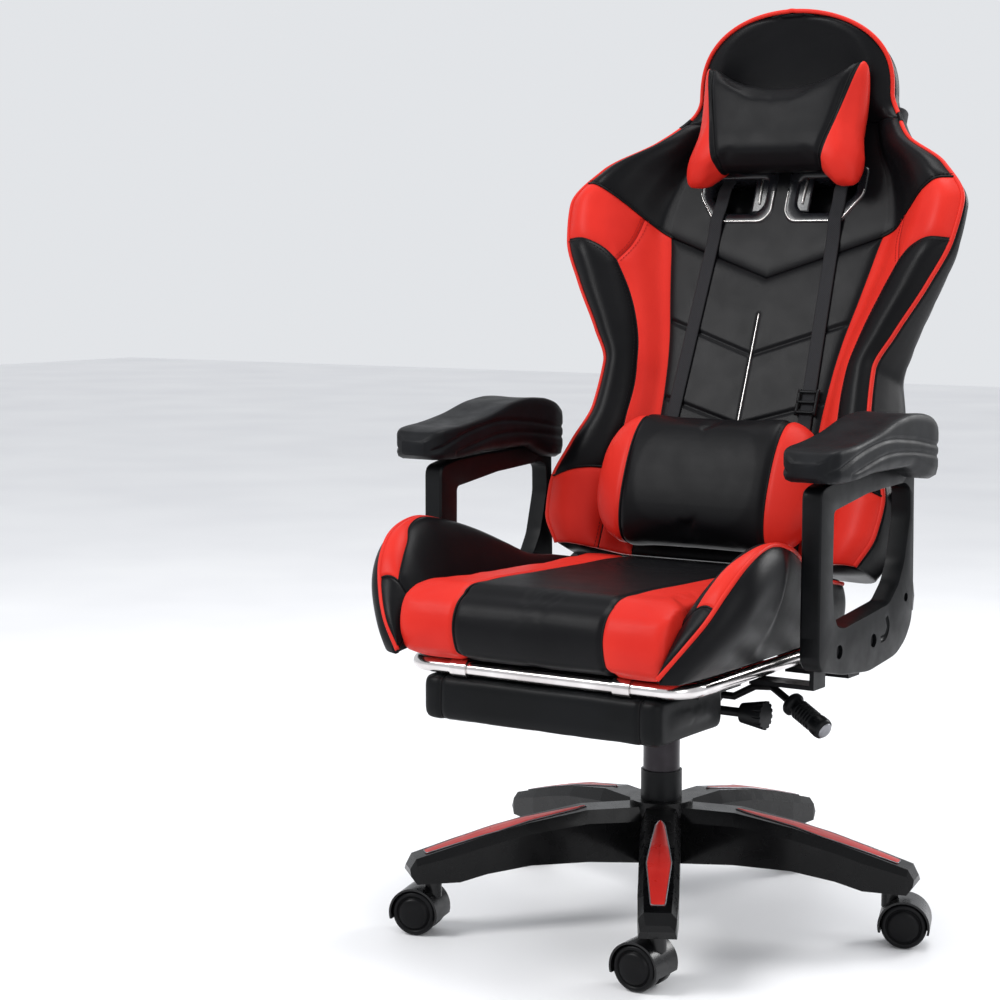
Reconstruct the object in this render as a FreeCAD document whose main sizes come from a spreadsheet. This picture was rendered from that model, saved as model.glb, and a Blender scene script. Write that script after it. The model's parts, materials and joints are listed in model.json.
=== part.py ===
import FreeCAD, Part
import math
import os
from FreeCAD import Placement, Rotation, Vector

# Gaming chair, millimetres. The origin is on the floor under the lift column's axis.
# The chair faces -Y and the sitter's left is +X. The back is at its usual 22 degrees
# of recline, the lift at its lowest stop and the footrest pushed in.

doc = FreeCAD.newDocument("gaming_chair")

DIMENSIONS = {
    # five-star base and casters
    "legs": 5, "leg_turn": 28.8, "leg_width": 53, "leg_end_low": 73,
    "hub_top": 167, "hub_low": 84, "hub_dia": 86, "stem_reach": 318,
    "stem_dia": 11, "stem_low": 57, "wheel_dia": 60, "wheel_width": 21, "wheel_gap": 10, "axle_dia": 6,
    "caster_trail": 20, "hood_dia": 68, "running_gap": 0.05,
    # lift column
    "column_dia": 50, "column_bore": 46, "column_low": 66, "column_top": 280,
    "collar_dia": 56, "collar_top": 207, "gas_dia": 28, "gas_low": 92, "gas_top": 308,
    "rod_dia": 10, "rod_top": 250, "button_dia": 8,
    # tilt mechanism
    "pin_back": -60, "pin_height": 338, "pin_dia": 12, "case_width": 130,
    "plate_low": 352, "plate_thick": 4, "bolt_back": -88, "bolt_height": 318,
    "lever_height": 319, "lever_pivot": 54, "pivot_dia": 6,
    # seat structure
    "rail_height": 28, "rail_width": 25, "rail_offset": 60, "pan_width": 360,
    "pan_thick": 12, "pan_front": -285, "pan_rear": 150,
    # seat cushions
    "seat_half": 189, "seat_front": -350, "seat_rear": 105, "seat_top": 486,
    # footrest
    "tube_dia": 19, "tube_half": 203, "tube_front": -306, "tube_height": 381,
    "tube_rear": 100, "pad_half": 178, "pad_depth": 160, "pad_low": 312, "pad_top": 368,
    # armrests
    "arm_inner": 271, "arm_outer": 298, "bolt_dia": 8, "arm_pad_inner": 250,
    "arm_pad_outer": 335,
    # back
    "hinge_back": 205, "hinge_height": 435, "recline": 22,
    "hole_inner": 16, "hole_outer": 126, "hole_low": 560, "hole_high": 632,
    "strap_width": 20, "strap_thick": 2,
}

sheet = doc.addObject("Spreadsheet::Sheet", "Dims")
for row, (name, value) in enumerate(DIMENSIONS.items(), start=1):
    sheet.set(f"A{row}", name)
    sheet.set(f"B{row}", str(value))
    sheet.setAlias(f"B{row}", name)
doc.recompute()

nodes = []


def dim(name):
    """A driving dimension, read back from the sheet."""
    return float(sheet.get(name))


def keep(feature, label):
    """Mark an object of the document as a finished sub-part."""
    feature.Label = label
    nodes.append(feature)
    return feature


def bind(feature, **expressions):
    """Bind properties to sheet cells; x, y and z stand for the placement's base."""
    for prop, expression in expressions.items():
        path = f"Placement.Base.{prop}" if prop in ("x", "y", "z") else prop
        feature.setExpression(path, expression)
    return feature


def cylinder(radius, height, axis=(0, 0, 1), **place):
    """A bound cylinder along an axis, starting at the bound place."""
    feature = doc.addObject("Part::Cylinder", "Cylinder")
    feature.Placement.Rotation = Rotation(Vector(0, 0, 1), Vector(*axis))
    return bind(feature, Radius=radius, Height=height, **place)


def box(length, width, height, **place):
    """A bound box whose lowest corner is at the bound place."""
    feature = doc.addObject("Part::Box", "Box")
    return bind(feature, Length=length, Width=width, Height=height, **place)


def fuse(*parts):
    feature = doc.addObject("Part::MultiFuse", "Fuse")
    feature.Shapes = list(parts)
    feature.Refine = True
    return feature


def cut(base, *tools):
    feature = doc.addObject("Part::Cut", "Cut")
    feature.Base = base
    feature.Tool = tools[0] if len(tools) == 1 else fuse(*tools)
    return feature


def group(*parts):
    """Separate solids that share one sub-part."""
    feature = doc.addObject("Part::Compound", "Group")
    feature.Links = list(parts)
    return feature


def mirrored(part):
    """The same piece on the other side of the chair."""
    feature = doc.addObject("Part::Mirroring", "Mirrored")
    feature.Source = part
    feature.Normal = Vector(1, 0, 0)
    return feature


def shaped(label, shape, placement=None):
    """A sub-part whose shape comes from Part's own functions."""
    feature = doc.addObject("Part::Feature", label)
    feature.Shape = shape
    if placement is not None:
        feature.Placement = placement
    return feature


def new_body(name):
    return doc.addObject("PartDesign::Body", name)


def plane_of(body, role):
    for feature in body.Origin.OriginFeatures:
        if feature.Role == role:
            return feature
    raise ValueError(f"no plane {role}")


def sketch_on(body, role, name):
    sketch = body.newObject("Sketcher::SketchObject", name)
    sketch.AttachmentSupport = (plane_of(body, role), [""])
    sketch.MapMode = "FlatFace"
    return sketch


def draw_polygon(sketch, points):
    """Closed straight-sided outline in the sketch's own two axes."""
    corners = [Vector(u, v, 0) for u, v in points]
    for start, end in zip(corners, corners[1:] + corners[:1]):
        sketch.addGeometry(Part.LineSegment(start, end), False)


def padded(body, sketch, length, midplane=False):
    feature = body.newObject("PartDesign::Pad", "Pad")
    feature.Profile = sketch
    feature.Midplane = midplane
    feature.setExpression("Length", length)
    body.Tip = feature
    return feature


def side_plate(name, points, inner, outer):
    """A plate seen from the side (Y, Z), standing between two distances from the middle."""
    body = new_body(name)
    sketch = sketch_on(body, "YZ_Plane", name + "_outline")
    draw_polygon(sketch, points)
    padded(body, sketch, f"({outer}) - ({inner})")
    return bind(body, x=inner)


def ruled_loft(sections):
    """A closed solid through straight-sided sections with equal corner counts."""
    wires = [Part.makePolygon(list(ring) + [ring[0]]) for ring in sections]
    return Part.makeLoft(wires, True, True)


# ---------------------------------------------------------------- five-star base

# Stations along a leg: reach from the column's axis, top, underside and half-width.
LEG_STATIONS = (
    (30, 160, 84, 27), (110, 160, 90, 27), (190, 147, 90, 26.5), (250, 132.5, 82, 26),
    (287, 122.5, 73, 26), (345, 106, 73, 24), (353, 92, 84, 22),
)
LEG_BEVEL = 7


def leg_blank():
    """A leg arched on top with bevelled shoulders, tucked up underneath near the hub."""
    rings = []
    for reach, top, low, half in LEG_STATIONS:
        shoulder = min(top - LEG_BEVEL, top - (top - low) / 4)
        ring = [(-half, low), (half, low), (half, shoulder), (half - LEG_BEVEL, top),
                (LEG_BEVEL - half, top), (-half, shoulder)]
        rings.append([Vector(reach, across, height) for across, height in ring])
    return ruled_loft(rings)


LEG_ROOM = ((52, 148), (110, 152), (190, 138), (255, 121), (255, 60), (52, 60))


# Plan outline (reach, across) of the long pointed inlay on a leg.
INLAY_PLAN = ((104, 0), (122, 6), (232, 16), (330, 9), (330, -9), (232, -16), (122, -6))


def plan_prism(name, points):
    """An upright prism over a plan outline."""
    body = new_body(name)
    sketch = sketch_on(body, "XY_Plane", name + "_plan")
    draw_polygon(sketch, points)
    padded(body, sketch, "Dims.hub_top + 20")
    return body


def leg_slab(name, points, width):
    """A leg's side outline padded to a width about the leg's own middle plane."""
    body = new_body(name)
    sketch = sketch_on(body, "XZ_Plane", name + "_side")
    draw_polygon(sketch, points)
    padded(body, sketch, width, midplane=True)
    return body


def inlay_band():
    """Side outline of the inlay: a 2.4 mm strip, 0.4 mm of it proud of the leg."""
    line = [(95, 162.4), (110, 160), (190, 147), (270, 127), (338, 107.9)]
    return [(u, v + 0.4) for u, v in line] + [(u, v - 2) for u, v in reversed(line)]


def leg_rotation(index):
    """Turn that carries the +X leg to its place; the first leg points ahead of the chair."""
    return Rotation(Vector(0, 0, 1), dim("leg_turn") - 90 + index * 360 / dim("legs"))


def star(part, name):
    """Five copies of one leg's piece about the column."""
    copies = []
    for index in range(int(dim("legs"))):
        copy = doc.addObject("Part::Feature", f"{name}_{index + 1}")
        copy.Shape = part.Shape.copy()
        copy.Placement = Placement(Vector(), leg_rotation(index))
        copies.append(copy)
    return copies


leg = shaped("Leg", leg_blank())
leg_hollow = leg_slab("LegHollow", LEG_ROOM, "Dims.leg_width - 12")
stem_socket = cylinder("Dims.stem_dia / 2 + Dims.running_gap", "30",
                       x="Dims.stem_reach", z="Dims.leg_end_low - 2")
inlay_slot = doc.addObject("Part::MultiCommon", "InlaySlot")
inlay_slot.Shapes = [plan_prism("InlayCut", INLAY_PLAN), leg_slab("InlayBand", inlay_band(), "60")]
leg_piece = cut(leg, leg_hollow, stem_socket, inlay_slot)
doc.recompute()

hub_barrel = cylinder("Dims.hub_dia / 2", "Dims.hub_top - Dims.hub_low", z="Dims.hub_low")
hub_bore = cylinder("Dims.column_dia / 2", "200", z="40")
keep(cut(fuse(hub_barrel, *star(leg_piece, "LegCopy")), hub_bore), "star_base")
keep(group(*star(inlay_slot, "Inlay")), "base_inlays")


# ---------------------------------------------------------------- casters

# Resting heading of each caster, degrees from +X, as the wheels happened to roll.
CASTER_HEADINGS = (180, 20, 75, 140, 195)


def caster_parts():
    """Hood, pins and wheels of one caster about its stem axis, trailing towards +X."""
    centre = "Dims.wheel_dia / 2"
    width = "(2 * Dims.wheel_width + Dims.wheel_gap + 2)"
    cowl = cylinder("Dims.hood_dia / 2", width, axis=(0, 1, 0),
                    x="Dims.caster_trail", y=f"-{width} / 2", z=centre)
    room = cylinder("Dims.wheel_dia / 2 + 1.2", "Dims.wheel_width + 4", axis=(0, 1, 0),
                    x="Dims.caster_trail", y="Dims.wheel_gap / 2 - 0.6", z=centre)
    room_mirror = cylinder("Dims.wheel_dia / 2 + 1.2", "Dims.wheel_width + 4", axis=(0, -1, 0),
                           x="Dims.caster_trail", y="-Dims.wheel_gap / 2 + 0.6", z=centre)
    below = box("120", "80", "Dims.wheel_dia / 2 + 11", x="-40", y="-40", z="-20")
    boss = cylinder("11", "20", z="50")
    axle_hole = cylinder("Dims.axle_dia / 2", width, axis=(0, 1, 0),
                         x="Dims.caster_trail", y=f"-{width} / 2", z=centre)
    stem_hole = cylinder("Dims.stem_dia / 2", "40", z="Dims.stem_low")
    hood_blank = fuse(cowl, boss)
    hood = cut(hood_blank, room, room_mirror, below, axle_hole, stem_hole)
    stem = cylinder("Dims.stem_dia / 2", "Dims.leg_end_low + 24 - Dims.stem_low", z="Dims.stem_low")
    axle = cylinder("Dims.axle_dia / 2", "2 * Dims.wheel_width + Dims.wheel_gap - 4", axis=(0, 1, 0),
                    x="Dims.caster_trail", y="-Dims.wheel_width - Dims.wheel_gap / 2 + 2", z=centre)
    wheels = []
    for side in (1, -1):
        tread = cylinder("Dims.wheel_dia / 2", "Dims.wheel_width", axis=(0, side, 0),
                         x="Dims.caster_trail", y=f"{side} * Dims.wheel_gap / 2", z=centre)
        bore = cylinder("Dims.axle_dia / 2 + Dims.running_gap", "Dims.wheel_width - 1.9", axis=(0, side, 0),
                        x="Dims.caster_trail", y=f"{side} * Dims.wheel_gap / 2", z=centre)
        wheels.append(cut(tread, bore))
    return hood, group(stem, axle), group(*wheels)


caster_set = caster_parts()
doc.recompute()
for index, heading in enumerate(CASTER_HEADINGS):
    reach = leg_rotation(index).multVec(Vector(dim("stem_reach"), 0, 0))
    place = Placement(reach, Rotation(Vector(0, 0, 1), heading))
    for part, label in zip(caster_set, ("caster_hood", "caster_pins", "caster_wheels")):
        keep(shaped(f"{label}_{index + 1}", part.Shape.copy(), place), f"{label}_{index + 1}")


# ---------------------------------------------------------------- lift column

tube_outer = cylinder("Dims.column_dia / 2", "Dims.column_top - Dims.column_low", z="Dims.column_low")
tube_inner = cylinder("Dims.column_bore / 2", "Dims.column_top", z="Dims.column_low + 4")
tube_exit = cylinder("Dims.rod_dia / 2", "20", z="Dims.column_low - 5")
keep(cut(tube_outer, tube_inner, tube_exit), "column_tube")

collar_outer = cylinder("Dims.collar_dia / 2", "Dims.collar_top - Dims.hub_top", z="Dims.hub_top")
collar_inner = cylinder("Dims.column_dia / 2", "100", z="Dims.hub_top - 10")
keep(cut(collar_outer, collar_inner), "column_collar")

bush_outer = cylinder("Dims.column_bore / 2", "100", z="Dims.column_top - 101")
bush_inner = cylinder("Dims.gas_dia / 2 + Dims.running_gap", "140", z="Dims.column_top - 120")
keep(cut(bush_outer, bush_inner), "column_bushing")

rod_shaft = cylinder("Dims.rod_dia / 2", "Dims.rod_top - Dims.column_low + 2", z="Dims.column_low - 2")
rod_piston = cylinder("10.9", "8", z="Dims.rod_top - 8")
keep(fuse(rod_shaft, rod_piston), "piston_rod")

bearing_outer = cylinder("17", "7", z="Dims.column_low + 4")
bearing_inner = cylinder("Dims.rod_dia / 2", "30", z="Dims.column_low")
keep(cut(bearing_outer, bearing_inner), "thrust_bearing")

gas_outer = cylinder("Dims.gas_dia / 2", "Dims.gas_top - Dims.gas_low", z="Dims.gas_low")
gas_inner = cylinder("11", "Dims.gas_top - Dims.gas_low - 34", z="Dims.gas_low + 12")
gas_neck = cylinder("Dims.rod_dia / 2 + Dims.running_gap", "30", z="Dims.gas_low - 5")
button_hole = cylinder("Dims.button_dia / 2 + Dims.running_gap", "40", z="Dims.gas_top - 18")
keep(cut(gas_outer, gas_inner, gas_neck, button_hole), "gas_cylinder")
keep(cylinder("Dims.button_dia / 2", "14", z="Dims.gas_top - 9"), "release_button")


# ---------------------------------------------------------------- tilt mechanism

def mechanism_case():
    """Pressed steel tray with the column's socket and ears for the tilt pin."""
    body = new_body("Tray")
    sketch = sketch_on(body, "YZ_Plane", "Tray_side")
    draw_polygon(sketch, [(-118, 304), (-96, 296), (40, 296), (62, 306), (62, 312), (26, 322),
                          (12, 328), (-34, 330), (-48, 346), (-72, 346), (-118, 336)])
    padded(body, sketch, "Dims.case_width", midplane=True)
    inside = new_body("TrayRoom")
    room_sketch = sketch_on(inside, "YZ_Plane", "TrayRoom_side")
    draw_polygon(room_sketch, [(-114, 306), (-95, 300), (39, 300), (58, 308), (58, 360), (-114, 360)])
    padded(inside, room_sketch, "Dims.case_width - 8", midplane=True)
    socket = cylinder("22", "Dims.gas_top - Dims.column_top - 5", z="Dims.column_top + 3")
    socket_bore = cylinder("Dims.gas_dia / 2 + Dims.running_gap", "80", z="280")
    ears = [box("12", "3", "24", x="Dims.lever_pivot - 6", y=f"{place} - 1.5", z="300")
            for place in (-9.5, 9.5)]
    pivot_hole = cylinder("Dims.pivot_dia / 2 + Dims.running_gap", "30", axis=(0, 1, 0),
                          x="Dims.lever_pivot", y="-15", z="Dims.lever_height")
    tray = fuse(cut(body, inside), socket, *ears)
    pin_hole = cylinder("Dims.pin_dia / 2", "Dims.case_width + 20", axis=(1, 0, 0),
                        x="-Dims.case_width / 2 - 10", y="Dims.pin_back", z="Dims.pin_height")
    lever_hole = cylinder("7", "10", axis=(1, 0, 0), x="Dims.case_width / 2 - 5", z="Dims.lever_height")
    bolt_hole = cylinder("6 + Dims.running_gap", "40", axis=(1, 0, 0),
                         x="Dims.case_width / 2 - 20", y="Dims.bolt_back", z="Dims.bolt_height")
    return cut(tray, socket_bore, pin_hole, lever_hole, bolt_hole, pivot_hole)


keep(mechanism_case(), "mechanism_housing")
keep(cylinder("Dims.pin_dia / 2", "Dims.case_width + 26", axis=(1, 0, 0),
              x="-Dims.case_width / 2 - 13", y="Dims.pin_back", z="Dims.pin_height"), "tilt_pin")


SPRING_TURNS = 8
SPRING_STEPS = 12
SPRING_PITCH = 11.0
SPRING_RADIUS = 11.5
SPRING_WIRE = 2.0


def coil_spring():
    """Tension spring that pushes the seat back level: a coil about the side-to-side bolt."""
    rings = []
    for step in range(SPRING_TURNS * SPRING_STEPS + 1):
        turn = 2 * math.pi * step / SPRING_STEPS
        ring = []
        for corner in range(6):
            angle = math.pi * corner / 3
            radius = SPRING_RADIUS + SPRING_WIRE * math.cos(angle)
            shift = SPRING_PITCH * step / SPRING_STEPS + SPRING_WIRE * math.sin(angle)
            ring.append(Vector(shift - 46, dim("bolt_back") + radius * math.cos(turn),
                               dim("bolt_height") + radius * math.sin(turn)))
        rings.append(ring)
    return ruled_loft(rings)


keep(shaped("TensionSpring", coil_spring()), "tension_spring")

# The tension knob is a ribbed cone on the end of the side-to-side bolt.
KNOB_RIBS = 14
knob_shank = cylinder("6", "118", axis=(1, 0, 0), x="Dims.case_width / 2 - 14",
                      y="Dims.bolt_back", z="Dims.bolt_height")
knob_head = doc.addObject("Part::Cone", "KnobHead")
knob_head.Placement.Rotation = Rotation(Vector(0, 0, 1), Vector(1, 0, 0))
bind(knob_head, Radius1="13", Radius2="19", Height="34", x="168", y="Dims.bolt_back", z="Dims.bolt_height")
knob_grooves = []
for index in range(KNOB_RIBS):
    angle = math.radians(index * 360 / KNOB_RIBS)
    groove = cylinder("2", "60", axis=(1, 0, 0), x="160", y=f"Dims.bolt_back + {18.5 * math.cos(angle):.3f}",
                      z=f"Dims.bolt_height + {18.5 * math.sin(angle):.3f}")
    knob_grooves.append(groove)
keep(cut(fuse(knob_shank, knob_head), *knob_grooves), "tension_knob")


def swept_bar(points, radius):
    """A round bar along straight runs with mitred bends."""
    path = Part.makePolygon(points)
    ring = Part.Wire(Part.makeCircle(radius, points[0], points[1] - points[0]))
    return path.makePipeShell([ring], True, True, 1)


# The height lever rocks on a cross pin inside the housing; its inner end lies over the button.
LEVER_ROUTE = [Vector(x, y, z) for x, y, z in
               ((-7, 0, 319), (110, 0, 319), (146, -10, 338), (176, -20, 342), (262, -46, 300))]
LEVER_RADIUS = 5.0
GRIP_RADIUS = 14.0
lever_end = LEVER_ROUTE[-1]
lever_axis = lever_end - LEVER_ROUTE[-2]
lever_axis.normalize()
grip_start = lever_end - lever_axis * 62
pivot_pin = Part.makeCylinder(dim("pivot_dia") / 2, 22, Vector(dim("lever_pivot"), -11, dim("lever_height")),
                              Vector(0, 1, 0))
keep(shaped("HeightLever", swept_bar(LEVER_ROUTE, LEVER_RADIUS).fuse(pivot_pin)), "height_lever")
grip = Part.makeCylinder(GRIP_RADIUS, 66, grip_start, lever_axis)
grip = grip.fuse(Part.makeCylinder(GRIP_RADIUS + 2, 9, grip_start, lever_axis))
grip = grip.cut(Part.makeCylinder(LEVER_RADIUS, 82, lever_end - lever_axis * 82, lever_axis))
keep(shaped("LeverGrip", grip.removeSplitter()), "height_lever_grip")


# ---------------------------------------------------------------- seat structure

def seat_plate():
    """Pressed plate with two ears that hang on the tilt pin."""
    plate = box("150", "260", "Dims.plate_thick", x="-75", y="-130", z="Dims.plate_low")
    ears = []
    for side in (1, -1):
        edge = "Dims.case_width / 2 + 1" if side > 0 else "-Dims.case_width / 2 - 5"
        ears.append(box("4", "40", "Dims.plate_low - Dims.pin_height + 12", x=edge,
                        y="Dims.pin_back - 20", z="Dims.pin_height - 12"))
    pin_hole = cylinder("Dims.pin_dia / 2 + Dims.running_gap", "220", axis=(1, 0, 0),
                        x="-110", y="Dims.pin_back", z="Dims.pin_height")
    return cut(fuse(plate, *ears), pin_hole)


keep(seat_plate(), "seat_plate")

rail_low = "Dims.plate_low + Dims.plate_thick"


def lengthwise_rail(x):
    """A box tube from front to back on the seat plate, open at its ends."""
    outer = box("Dims.rail_width", "238", "Dims.rail_height", x=x, y="-113", z=rail_low)
    room = box("Dims.rail_width - 4", "238", "Dims.rail_height - 4",
               x=f"{x} + 2", y="-113", z=f"{rail_low} + 2")
    return cut(outer, room)


def cross_rail(y):
    """A box tube from side to side, butted against the lengthwise ones."""
    outer = box("300", "Dims.rail_width", "Dims.rail_height", x="-150", y=y, z=rail_low)
    room = box("300", "Dims.rail_width - 4", "Dims.rail_height - 4",
               x="-150", y=f"{y} + 2", z=f"{rail_low} + 2")
    return cut(outer, room)


rails = [lengthwise_rail(f"{side} * Dims.rail_offset - Dims.rail_width / 2") for side in (1, -1)]
rails += [cross_rail("-138"), cross_rail("125")]
keep(group(*rails), "seat_rails")

pan_low = "Dims.plate_low + Dims.plate_thick + Dims.rail_height"
keep(box("Dims.pan_width", "Dims.pan_rear - Dims.pan_front", "Dims.pan_thick",
         x="-Dims.pan_width / 2", y="Dims.pan_front", z=pan_low), "seat_pan")

screws = []
for side in (1, -1):
    for place in (-110, 110):
        middle = f"{side} * Dims.rail_offset"
        head = cylinder("7", "4", x=middle, y=str(place), z="Dims.plate_low - 4")
        shank = cylinder("3", "30", x=middle, y=str(place), z="Dims.plate_low - 2")
        screws.append(fuse(head, shank))
keep(group(*screws), "plate_screws")


def seat_cushion():
    """Centre cushion: flat underneath, dished on top, rounded over at the front."""
    body = new_body("SeatCushion")
    sketch = sketch_on(body, "YZ_Plane", "SeatCushion_side")
    top = dim("seat_top")
    front, rear = dim("seat_front"), dim("seat_rear")
    draw_polygon(sketch, [(front + 32, 396.5), (front + 8, 402), (front, 420), (front, 448),
                          (front + 8, 472), (front + 28, top), (-200, top - 1), (-60, top - 8),
                          (60, top - 15), (rear, top - 17), (rear, 396.5)])
    padded(body, sketch, "2 * Dims.seat_half - 0.6", midplane=True)
    return body


keep(seat_cushion(), "seat_cushion")

# Stations of the side bolster: how far back, top height, and half-widths at the foot and the top.
BOLSTER_STATIONS = (
    (-340, 440, 205, 212), (-312, 505, 212, 236), (-270, 545, 216, 254), (-220, 558, 218, 262),
    (-160, 550, 218, 264), (-90, 526, 217, 258), (-20, 500, 215, 248), (60, 484, 212, 234),
)


def seat_bolster():
    """Raised side of the seat, leaning outward, between the cushion and the armrest."""
    rings = []
    for back, top, foot, crown in BOLSTER_STATIONS:
        inner = dim("seat_half") + 0.3
        crest = min(inner + 26, crown - 8)
        ring = [(inner, 397), (foot, 397), (crown, top - 22), (crown - 6, top - 4), (crest, top),
                (inner, top - 14)]
        rings.append([Vector(across, back, height) for across, height in ring])
    return ruled_loft(rings)


bolster_left = keep(shaped("BolsterLeft", seat_bolster()), "seat_bolster_left")
keep(mirrored(bolster_left), "seat_bolster_right")


# ---------------------------------------------------------------- footrest

def footrest_tube():
    """Chrome U: two side runs joined by the front bar with rounded corners."""
    half, front, height = dim("tube_half"), dim("tube_front"), dim("tube_height")
    rear, bend = dim("tube_rear"), 38.0
    diagonal = bend * math.sqrt(0.5)
    edges = []
    for side in (-1, 1):
        corner = Vector(side * (half - bend), front + bend, height)
        low = corner + Vector(0, -bend, 0)
        out = corner + Vector(side * bend, 0, 0)
        mid = corner + Vector(side * diagonal, -diagonal, 0)
        far = Vector(side * half, rear, height)
        pieces = [Part.LineSegment(far, out), Part.Arc(out, mid, low)]
        edges += [piece.toShape() for piece in pieces]
        if side < 0:
            edges.append(Part.LineSegment(low, low + Vector(2 * (half - bend), 0, 0)).toShape())
    path = Part.Wire(Part.__sortEdges__(edges))
    start = Vector(-half, rear, height)
    radius = dim("tube_dia") / 2
    rings = [Part.Wire(Part.makeCircle(size, start, Vector(0, -1, 0))) for size in (radius, radius - 1.5)]
    skin, hollow = [path.makePipeShell([ring], True, False) for ring in rings]
    return skin.cut(hollow)


keep(shaped("FootrestTube", footrest_tube()), "footrest_rail")

guides = []
for side in (1, -1):
    jaw = box("20", "110", "27", x=f"{side} * 190.2 - 10", y="-265", z="367.5")
    web = box("32", "110", "4", x=f"{side} * 166 - 16", y="-265", z="380")
    groove = cylinder("Dims.tube_dia / 2 + Dims.running_gap", "160", axis=(0, 1, 0),
                      x=f"{side} * Dims.tube_half", y="-290", z="Dims.tube_height")
    guides.append(cut(fuse(jaw, web), groove))
keep(group(*guides), "footrest_guides")


def foot_pad():
    """Upholstered footrest, hanging stowed behind the front bar."""
    body = new_body("FootPad")
    sketch = sketch_on(body, "YZ_Plane", "FootPad_side")
    rear = dim("tube_front") + dim("pad_depth")
    low, top = dim("pad_low"), dim("pad_top")
    draw_polygon(sketch, [(-322, top), (-330, top - 8), (-330, low + 18), (-320, low + 4),
                          (-304, low), (rear - 18, low), (rear - 4, low + 6), (rear, low + 20),
                          (rear, top - 6), (rear - 6, top)])
    padded(body, sketch, "2 * Dims.pad_half", midplane=True)
    return body


keep(foot_pad(), "footrest_pad")

clamps = []
for side in (1, -1):
    ring = cylinder("12", "24", axis=(1, 0, 0),
                    x=f"{side} * 120 - 12", y="Dims.tube_front", z="Dims.tube_height")
    foot = box("24", "50", "3", x=f"{side} * 120 - 12", y="Dims.tube_front + 2", z="Dims.pad_top")
    bore = cylinder("Dims.tube_dia / 2 + Dims.running_gap", "60", axis=(1, 0, 0),
                    x=f"{side} * 120 - 30", y="Dims.tube_front", z="Dims.tube_height")
    clamps.append(cut(fuse(ring, foot), bore))
keep(group(*clamps), "footrest_clamps")


# ---------------------------------------------------------------- armrests

def armrest_frame():
    """Loop-shaped side frame with a window, bolt holes and a curved adjusting slot."""
    outer = [(-136, 618), (-99, 624), (-26, 628), (67, 629), (143, 630), (149, 553), (151, 462), (148, 417),
             (128, 393), (98, 378), (15, 369), (-60, 376), (-128, 390), (-136, 400)]
    window = [(-98, 588), (-99, 502), (-93, 458), (-78, 440), (-63, 436), (73, 450), (102, 472), (119, 499),
              (136, 560), (134, 592), (119, 606), (6, 602)]
    frame = side_plate("ArmFrame", outer, "Dims.arm_inner", "Dims.arm_outer")
    hole = side_plate("ArmWindow", window, "Dims.arm_inner - 5", "Dims.arm_outer + 5")
    tools = [hole]
    for place in (-77, 26):
        tools.append(cylinder("Dims.bolt_dia / 2", "60", axis=(1, 0, 0), x="Dims.arm_inner - 10",
                              y=str(place), z="408"))
        tools.append(cylinder("9", "12", axis=(1, 0, 0), x="Dims.arm_outer - 9", y=str(place), z="408"))
    tools.append(cylinder("6", "10", axis=(1, 0, 0), x="Dims.arm_outer - 5", y="127", z="452"))
    for step in range(6):
        angle = math.radians(-80 + 26 * step)
        tools.append(cylinder("4.5", "12", axis=(1, 0, 0), x="Dims.arm_outer - 6",
                              y=f"{48 + 22 * math.cos(angle)}", z=f"{424 + 18 * math.sin(angle)}"))
    return cut(frame, *tools)


frame_left = keep(armrest_frame(), "armrest_frame_left")
keep(mirrored(frame_left), "armrest_frame_right")

ARM_PAD_OUTLINE = [(-172, 640), (-160, 660), (-110, 668), (-50, 680), (20, 698), (80, 700), (140, 684),
                   (190, 660), (214, 640), (206, 626), (160, 630.5), (60, 634), (-40, 632), (-140, 626)]
pad_left = side_plate("ArmPad", ARM_PAD_OUTLINE, "Dims.arm_pad_inner", "Dims.arm_pad_outer")
frame_room = side_plate("ArmPadRoom", [(-140, 600), (-140, 622.3), (-99, 628.3), (67, 633.3), (147, 634.3),
                                       (147, 600)], "Dims.arm_inner - 1", "Dims.arm_outer + 1")
pad_left = keep(cut(pad_left, frame_room), "armrest_pad_left")
keep(mirrored(pad_left), "armrest_pad_right")

mounts_left = []
for place in (-77, 26):
    strap = new_body("ArmBracket")
    strap_sketch = sketch_on(strap, "XZ_Plane", "ArmBracket_bend")
    draw_polygon(strap_sketch, [(120, 378), (180, 378), (180, 358), (271, 358), (271, 424), (265, 424),
                                (265, 364), (187, 364), (187, 384), (120, 384)])
    padded(strap, strap_sketch, "34", midplane=True)
    strap.Placement.Base = Vector(0, place, 0)
    hole = cylinder("Dims.bolt_dia / 2", "40", axis=(1, 0, 0), x="250", y=str(place), z="408")
    mounts_left.append(cut(strap, hole))
brackets_left = group(*mounts_left)
keep(group(brackets_left, mirrored(brackets_left)), "armrest_brackets")

bolts_left = []
for place in (-77, 26):
    shank = cylinder("Dims.bolt_dia / 2", "34", axis=(1, 0, 0), x="258", y=str(place), z="408")
    head = cylinder("7", "5", axis=(1, 0, 0), x="Dims.arm_outer - 9", y=str(place), z="408")
    nut = cylinder("7.5", "6", axis=(1, 0, 0), x="259", y=str(place), z="408")
    bolts_left.append(fuse(shank, head, nut))
bolts_group = group(*bolts_left)
keep(group(bolts_group, mirrored(bolts_group)), "armrest_bolts")


# ---------------------------------------------------------------- recline hinge

hinge_x = "Dims.hinge_back"
hinge_z = "Dims.hinge_height"


def seat_hinge_plate():
    """Steel plate from the seat pan's rear corner up to the recline pivot."""
    plate = side_plate("HingePlate", [(60, 396.6), (160, 396.6), (222, 414), (228, 440), (212, 458),
                                      (190, 456), (150, 420), (60, 410)], "236", "241")
    foot = box("64", "46", "4", x="176", y="100", z="380")
    riser = box("5", "46", "20", x="236", y="100", z="380")
    hole = cylinder("6", "60", axis=(1, 0, 0), x="220", y=hinge_x, z=hinge_z)
    return cut(fuse(plate, foot, riser), hole)


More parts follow.
